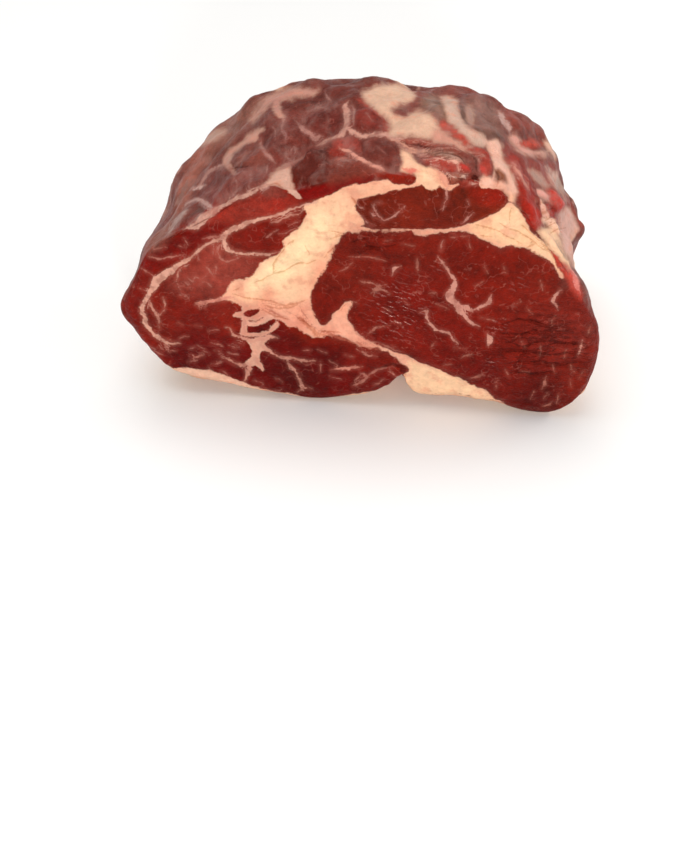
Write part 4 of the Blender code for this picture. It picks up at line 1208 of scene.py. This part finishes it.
def rough_skin():
    """Points and faces of the roast before its swellings, the numbers of the points of the
    face and the far end, and what lies opposite the far end's points on the cut face.
    The face is its outline filled, the sides are sections one behind the other, and the
    far end is the last section shrunk in steps."""
    face = face_outline()
    even = evened(face, SOFTENING)
    rim_place = section(face, even, 0.0)
    front = filled(rim_place, ACROSS, UP)
    inward = steps_from_edge(ACROSS, UP) * FACE_WIDTH / ACROSS
    front[..., 1] += RIM_BEND * (np.exp(-inward / RIM_BEND_INWARD) - 1.0)

    kept = kept_on_sides()
    rows = [section(face[kept], even[kept], s) for s in stations()[1:]]
    shares = np.linspace(1.0, 0.0, FAR_ROWS + 1)[1:-1]
    opposite = np.vstack([shrunk(rim_place[kept], share) for share in shares])
    rows += [shrunk(rows[-1], share) for share in shares]

    front_at = np.arange(front[..., 0].size).reshape(front.shape[:2])
    side_at = front_at.size + np.arange(len(rows) * len(kept)).reshape(len(rows), len(kept))
    far_at = side_at[ROWS:].ravel()

    # the face, a strip from its rim to the coarser sides, the sides and the last small ring
    rim = grid_ring(front_at)
    ends = np.append(kept[1:], len(face))
    faces = quads(front_at[:-1, :-1], front_at[1:, :-1], front_at[1:, 1:], front_at[:-1, 1:])
    for n, (start, stop) in enumerate(zip(kept, ends)):
        faces.append([*np.append(rim, rim[0])[start:stop + 1].tolist(),
                      int(side_at[0, (n + 1) % len(kept)]), int(side_at[0, n])])
    ahead = np.roll(side_at, -1, axis=1)
    faces += quads(side_at[:-1], ahead[:-1], ahead[1:], side_at[1:])
    faces.append(side_at[-1].tolist())
    return np.vstack([front.reshape(-1, 3), *rows]), faces, front_at.ravel(), far_at, opposite


def normals_of(mesh):
    """The mesh's own normal at each point."""
    found = np.empty(len(mesh.vertices) * 3)
    mesh.vertices.foreach_get("normal", found)
    return found.reshape(-1, 3)


def put_points(mesh, place):
    """Move the mesh's points to these places."""
    mesh.vertices.foreach_set("co", place.ravel())
    mesh.update()


def swollen(place, normal):
    """The forms and crags, pushed out along the skin's normals: the sum of push exp(-r r)
    over the forms, r the distance in reaches, and of the crags' sines off the two ends."""
    amount = np.zeros(len(place))
    for x, y, z, reach, push in FORMS:
        far = np.linalg.norm(place - np.array([x, y, z]) * MM, axis=1) / (reach * MM)
        amount += push * MM * np.exp(-far * far)
    along_y = np.abs(normal[:, 1])
    for wave_x, wave_y, wave_z, phase, depth in CRAGS:
        turns = (place / (np.array([wave_x, wave_y, wave_z]) * MM)).sum(axis=1)
        amount += depth * MM * np.sin(2.0 * np.pi * turns + phase) * (1.0 - ease(along_y, 0.25, 0.75))
    return place + normal * (amount * ease(place[:, 2], 0.0, 20 * MM))[:, None]


def settled(place):
    """Everything that would hang below the surface laid flat on it, with a soft turn."""
    place = place.copy()
    low = place[:, 2] < REST_BLEND
    place[low, 2] = np.maximum(place[low, 2] + REST_BLEND, 0.0) ** 2 / (4.0 * REST_BLEND)
    return place


def over_solid(place):
    """Moved so that its box has the solid's middle and stands on the surface."""
    low, high = [np.array(corner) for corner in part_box(NODE)]
    middle = (low + high) / 2.0 - (place.min(axis=0) + place.max(axis=0)) / 2.0
    return place + [middle[0], middle[1], -place[:, 2].min()]


def hidden_skin(place):
    """How the sides look that the photograph doesn't show, in the same terms as the drawing:
    a cap of fat below and on the lower flanks, and muscle with seams and lumps of fat above.
    Edges and fine lines run where a noise crosses a level, and the noise's distance from
    that level, scaled to pixels, stands for the distance from the edge or line."""
    long_way = place * (1.0, 0.5, 1.0)         # noise there is twice as long along the roast

    def patchy(size, seed, at=place):
        """Noise with patches of this size in millimetres."""
        return smooth_noise(at, size * MM, seed)

    skin = Skin(np.zeros((len(place), 2)))
    ragged = 13 * patchy(34, 41, long_way) + 6 * patchy(12, 43)
    lumps = 14 * patchy(26, 45, long_way) + 6 * patchy(10, 47)
    cap = (place[:, 2] / MM - FAT_CAP_HEIGHT - ragged) * PX_PER_MM
    skin.edge = np.minimum(cap, (lumps + 6.0) * 2.2)
    for colour, size, seed in HIDDEN_LEAN:
        share = ease(patchy(size, seed, long_way), -0.1, 0.5)[:, None]
        skin.lean_colour = skin.lean_colour * (1.0 - share) + deepened(colour) * share
    deep = ease(patchy(17, 57), -0.4, 0.6)[:, None]
    skin.fat_colour = linear(FAT_CAP) * (1.0 - deep) + linear(FAT_CAP_DEEP) * deep
    thread = patchy(24, 61, long_way) + 0.14 * patchy(9, 63)
    skin.seam_across = np.clip(thread * 30.0, -FAR_OFF, FAR_OFF)
    skin.seam_half = 1.2 + 0.8 * patchy(12, 65)
    skin.seam_gap = np.abs(skin.seam_across) - skin.seam_half
    skin.seam_colour = np.tile(linear(HIDDEN_SEAM), (len(place), 1))
    # creases of the hidden sides, cut into the relief and darkened by painted shade in the material
    shaded_crease = patchy(19, 71) + 0.3 * patchy(7, 73)
    skin.crease_across = np.clip(shaded_crease * 26.0, -FAR_OFF, FAR_OFF)
    skin.crease_half[:] = 0.6
    skin.crease_gap = np.abs(skin.crease_across) + 4.0 * ease(patchy(14, 75), -0.2, 0.3)
    skin.relief = 0.5 * patchy(15, 77, long_way) + 0.4 * ease(-skin.edge, 0.0, 6.0)
    return skin


def mixed(hidden, drawn, share):
    """Two skins blended, share of the second at each point. Their edges are cut to the same
    reach first, so that the one that is farther from its edge doesn't outweigh the other."""
    for skin in (hidden, drawn):
        skin.edge = np.clip(skin.edge, -EDGE_REACH, EDGE_REACH)
    for name in ("relief", *SKIN_MEASURES, *SKIN_COLOURS):
        part = share[:, None] if name in SKIN_COLOURS else share
        setattr(drawn, name, getattr(hidden, name) * (1.0 - part) + getattr(drawn, name) * part)
    return drawn


def grained(place, skin, on_face):
    """Height of the fine relief at each point, in millimetres: what is drawn, a grain of 5
    and 2.4 millimetres, creases cut in, muscle standing out of fat and the face's seams
    sunk. It fades out at the surface that the roast rests on."""
    grain = 0.30 * smooth_noise(place, 5 * MM, 91) + 0.22 * smooth_noise(place, 2.4 * MM, 93)
    relief = skin.relief + grain - 0.5 * (1.0 - ease(skin.crease_gap, -0.5, 2.2))
    sunk = 0.2 * (1.0 - ease(skin.seam_gap, -1.0, 2.0)) * on_face
    relief += 0.45 * ease(skin.edge, -1.0, 5.0) - sunk
    return relief * ease(place[:, 2], 0.5 * MM, 10 * MM)


def give(mesh, name, values):
    """Store a number or a colour for each point under a name."""
    if values.ndim == 1:
        layer = mesh.attributes.new(name, "FLOAT", "POINT")
        layer.data.foreach_set("value", values.astype(np.float32))
    else:
        layer = mesh.attributes.new(name, "FLOAT_COLOR", "POINT")
        rgba = np.column_stack([values, np.ones(len(values))]).astype(np.float32)
        layer.data.foreach_set("color", rgba.ravel())


def roast():
    """The roast as one closed mesh with its drawing in attributes."""
    points, faces, front_at, far_end, opposite = rough_skin()
    mesh = bpy.data.meshes.new("rib_roast_visual")
    mesh.from_pydata(points.tolist(), [], faces)
    mesh.update()
    smooth_normal = normals_of(mesh)
    place = over_solid(settled(swollen(points, smooth_normal)))
    put_points(mesh, place)
    normal = normals_of(mesh)

    # the far end repeats the cut face's drawing, and sides turned away get the hidden skin
    px = photo_pixels(place)
    px[far_end] = wobbled(photo_pixels(opposite), FAR_WOBBLES)
    to_eye = photo_camera()[0] - place
    to_eye /= np.linalg.norm(to_eye, axis=1)[:, None]
    seen = ease((smooth_normal * to_eye).sum(axis=1), SEEN_FROM, SEEN_WHOLLY)
    seen[far_end] = ease(smooth_normal[far_end, 1], FAR_END_FROM, FAR_END_WHOLLY)
    on_face = np.zeros(len(place))
    on_face[front_at] = 1.0
    on_face[far_end] = seen[far_end]
    skin = mixed(hidden_skin(place), drawn_skin(px, on_face), seen)

    relief = grained(place, skin, on_face)
    place = place + normal * (relief * MM)[:, None]
    place[:, 2] = np.maximum(place[:, 2], 0.0)
    put_points(mesh, place)
    mesh.shade_smooth()

    for name in (*SKIN_MEASURES, *SKIN_COLOURS):
        give(mesh, name, getattr(skin, name))
    give(mesh, "on_face", on_face)
    give(mesh, "wet", seen * on_face * spotted(px, WET_SPOTS))
    give(mesh, "wrinkled", seen * on_face * spotted(px, WRINKLED_SPOTS))
    piece = bpy.data.objects.new("rib_roast_visual", mesh)
    bpy.context.scene.collection.objects.link(piece)
    return piece


class Nodes:
    """A material's node tree, and one way to add any node to it."""

    def __init__(self, name):
        self.material = bpy.data.materials.new(name)
        self.material.use_nodes = True
        self.tree = self.material.node_tree

    def add(self, kind, inputs=(), out=0, **settings):
        """A node of this kind with its settings. Its inputs, in their order or by name or
        number, are numbers, colours or other nodes' outputs."""
        node = self.tree.nodes.new("ShaderNode" + kind)
        for name, value in settings.items():
            setattr(node, name, value)
        self.feed(node, inputs if isinstance(inputs, dict) else dict(enumerate(inputs)))
        return node.outputs[out]

    def feed(self, node, inputs):
        """Link other nodes' outputs to a node's inputs, or set those to numbers or colours."""
        for key, value in inputs.items():
            if isinstance(value, bpy.types.NodeSocket):
                self.tree.links.new(value, node.inputs[key])
            else:
                node.inputs[key].default_value = value

    def finish(self, inputs):
        """The material, with these inputs on its shader."""
        self.feed(self.tree.nodes["Principled BSDF"], inputs)
        return self.material


def raw_beef():
    """Raw beef, cut with a knife at the face and trimmed outside. Muscle is dark, moist and
    softly shining, fat is paler and duller, and both let light about a millimetre in, which
    softens their shading. Juice stands on the face in small glossy beads."""
    beef = Nodes("raw_beef")
    add = beef.add
    soft = {"interpolation_type": "SMOOTHSTEP"}

    # what the mesh holds and the patterns that are laid over it
    drawn = {name: add("Attribute", out="Fac", attribute_name=name)
             for name in (*SKIN_MEASURES, "on_face", "wet", "wrinkled")}
    drawn |= {name: add("Attribute", out="Color", attribute_name=name) for name in SKIN_COLOURS}
    at = {"even": add("TexCoord", out="Object")}
    for name, (turn, lengths, raised) in STRETCHES.items():
        moved = (0.0, 0.0, raised * MM)
        at[name] = add("Mapping", (at["even"], moved, (0.0, turn, 0.0), lengths), vector_type="TEXTURE")
    noise = {name: add("TexNoise", {"Vector": at[where], "Scale": 1.0 / (size * MM),
                                    "Detail": detail, "Roughness": rough}, out="Fac")
             for name, (size, detail, rough, where) in NOISES.items()}
    shown = {name: add("MapRange", (noise[name], low, high), **soft)
             for name, (low, high) in SHOWING.items()}
    for name, width in WINDING.items():
        off = add("Math", (noise[name], 0.5), operation="SUBTRACT")
        off = add("Math", (off,), operation="ABSOLUTE")
        shown[name] = add("MapRange", (off, 0.0, width, 1.0, 0.0), **soft)
    amount = {name: add("MapRange", (drawn["on_face"], 0.0, 1.0, outside, face))
              for name, (face, outside) in AMOUNTS.items()}

    def swung(value, **swings):
        """Something made uneven by noises: their swings about their middle, times an amount."""
        for name, much in swings.items():
            off = add("Math", (noise[name], 0.5), operation="SUBTRACT")
            value = add("Math", (off, much, value), operation="MULTIPLY_ADD")
        return value

    def together(*shares):
        """How much of a point several things cover together: the product of their shares."""
        found = shares[0]
        for share in shares[1:]:
            found = add("Math", (found, share), operation="MULTIPLY")
        return found

    def laid_on(colour, *layers, blend="MIX"):
        """A colour with others laid on it in turn, each by its share."""
        for share, other in layers:
            other = (*linear(other), 1.0) if isinstance(other, str) else other
            colour = add("Mix", {0: share, 6: colour, 7: other}, out=2,
                         data_type="RGBA", blend_type=blend)
        return colour

    def line(name, softness, uneven):
        """How much of the nearest fine line covers a point. Its edges are uneven, in pixels."""
        off = add("Math", (drawn[name + "_across"],), operation="ABSOLUTE")
        off = add("Math", (off, drawn[name + "_half"]), operation="SUBTRACT")
        off = swung(off, middling=uneven, fine=uneven)
        inner = add("Math", (softness, -1.0), operation="MULTIPLY")
        close = add("MapRange", (drawn[name + "_gap"], 1.3, 2.4, 1.0, 0.0), **soft)
        return together(add("MapRange", (off, inner, softness, 1.0, 0.0), **soft), close)

    # fat or muscle: the drawn edge, made uneven by up to about a millimetre
    edge = swung(drawn["edge"], middling=amount["middling edge"], fine=amount["fine edge"])
    hard = amount["edge softness"]
    is_lean = add("MapRange", (edge, add("Math", (hard, -1.0), operation="MULTIPLY"), hard), **soft)

    # muscle: mottled, with flecks and threads of marbling, and outside under a pale film that is partly
    # thin skin and partly painted sheen
    mottle = swung(1.0, broad=1.1, middling=1.0, fine=0.8)
    lean = laid_on(drawn["lean_colour"], (1.0, mottle), blend="MULTIPLY")
    lean = laid_on(
        lean,
        (together(shown["flecks"], shown["fleck areas"], amount["flecks"]), FLECK),
        (together(shown["threads"], shown["thread areas"], 0.30), THREAD),
        (together(shown["skin and sheen"], amount["skin and sheen"]), THIN_SKIN_AND_SHEEN))

    # fat: a little paler and redder from place to place
    mottle = swung(1.0, broad=0.35, middling=0.45, fine=0.25)
    fat = laid_on(drawn["fat_colour"], (1.0, mottle), blend="MULTIPLY")
    fat = laid_on(fat, (together(shown["blush"], 0.5), BLUSH))
    colour = laid_on(fat, (is_lean, lean))

    # fine seams in a soft halo: broad ones are firmer, and all of them fade here and there
    halo = add("MapRange", (drawn["seam_gap"], 0.0, 4.0, 1.0, 0.0), **soft)
    firm = add("MapRange", (drawn["seam_half"], 0.2, 1.8), **soft)
    firm = add("Math", (firm, 0.50, 0.45), operation="MULTIPLY_ADD")
    whole = add("Math", (shown["breaks"], 0.45, 0.55), operation="MULTIPLY_ADD")
    seam = together(line("seam", amount["seam softness"], 3.8), firm, whole)
    colour = laid_on(colour, (together(halo, 0.10), drawn["seam_colour"]), (seam, drawn["seam_colour"]))

    # painted shade in creases and wrinkles, darker than what they run through
    folds = together(shown["folds"], drawn["wrinkled"])
    shaded_crease = laid_on(CREASE_SHADE_IN_FAT, (is_lean, CREASE_SHADE_IN_LEAN))
    shaded_crease = laid_on(colour, (1.0, shaded_crease), blend="MULTIPLY")
    crease = together(line("crease", 0.8, 1.8), 0.75)
    dark = add("Math", (crease, together(folds, 0.55)), operation="MAXIMUM")
    colour = laid_on(colour, (dark, shaded_crease))

    # surface: film, grain and bundles, wrinkles cut in, and beads standing up where it is wet
    height = 0.0
    for part, rise in ((noise["film"], 0.35), (noise["fine"], 0.8), (noise["middling"], 1.2),
                       (folds, -1.6), (together(noise["beads"], drawn["wet"]), 5.5)):
        height = add("Math", (part, rise, height), operation="MULTIPLY_ADD")
    bump = add("Bump", {"Height": height, "Distance": 0.7 * MM, "Strength": 0.8})

    # shine: a dull film over all, and glossy juice on the upper side of the beads
    slope = add("Math", (noise["beads raised"], noise["beads lowered"]), operation="SUBTRACT")
    beads = together(add("MapRange", (slope, 0.09, 0.15), **soft), drawn["wet"])
    rough = add("Mix", {0: is_lean, 2: swung(0.50, fine=0.4), 3: swung(0.42, fine=0.4)})
    return beef.finish({
        "Base Color": colour,
        "Roughness": add("Mix", {0: beads, 2: rough, 3: 0.13}),
        "Normal": bump,
        "IOR": 1.7,
        "Specular IOR Level": add("Math", (beads, 0.95, 0.05), operation="MULTIPLY_ADD"),
        "Specular Tint": (1.0, 0.6, 0.52, 1.0),
        "Subsurface Weight": 0.10,
        "Subsurface Radius": (1.0, 0.35, 0.2),
        "Subsurface Scale": 1.2 * MM,
    })


def floor():
    """A flat square of pale matt paper under the roast that reaches out of view."""
    mesh = bpy.data.meshes.new("floor")
    half = 4.0
    corners = [(-half, -half, 0), (half, -half, 0), (half, half, 0), (-half, half, 0)]
    mesh.from_pydata(corners, [], [(0, 1, 2, 3)])
    paper = {"Base Color": (*linear("f6f5f3"), 1.0), "Roughness": 0.8}
    mesh.materials.append(Nodes("floor_paper").finish(paper))
    sheet = bpy.data.objects.new("floor", mesh)
    bpy.context.scene.collection.objects.link(sheet)
    return sheet


def turned(right, back, place):
    """The matrix of something at place whose local X is right and local Z is back."""
    up = np.cross(back, right)
    return Matrix([[right[i], up[i], back[i], place[i]] for i in range(3)] + [[0.0, 0.0, 0.0, 1.0]])


def soft_light(name, place, size, power):
    """A square area light of this size in metres, aimed at the roast."""
    data = bpy.data.lights.new(name, "AREA")
    data.size = size
    data.energy = power
    light = bpy.data.objects.new(name, data)
    away = np.array(place) - LIT_POINT
    back = away / np.linalg.norm(away)
    right = np.cross((0.0, 0.0, 1.0), back)
    light.matrix_world = turned(right / np.linalg.norm(right), back, place)
    bpy.context.scene.collection.objects.link(light)


def camera():
    """The photograph's view: the same place, direction, angle of view and framing."""
    eye, right, up, back = photo_camera()
    data = bpy.data.cameras.new("camera")
    data.sensor_fit = "AUTO"
    data.sensor_width = SENSOR
    data.lens = FOCAL_PX / PHOTO_HEIGHT * SENSOR
    data.clip_start = 0.01
    data.clip_end = 20.0
    item = bpy.data.objects.new("camera", data)
    item.matrix_world = turned(right, back, eye)
    bpy.context.scene.collection.objects.link(item)
    bpy.context.scene.camera = item


def surroundings(strength):
    """White light of this strength from all round."""
    world = bpy.data.worlds.new("studio")
    world.use_nodes = True
    sky = world.node_tree.nodes["Background"]
    sky.inputs["Color"].default_value = (1.0, 1.0, 1.0, 1.0)
    sky.inputs["Strength"].default_value = strength
    bpy.context.scene.world = world


meat = roast()
meat.data.materials.append(raw_beef())
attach(meat, "root")
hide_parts(NODE)

floor()
for name, (place, size, power) in LIGHTS.items():
    soft_light(name, place, size, power)
surroundings(SURROUNDINGS)
camera()
bpy.context.scene.view_settings.view_transform = "Standard"
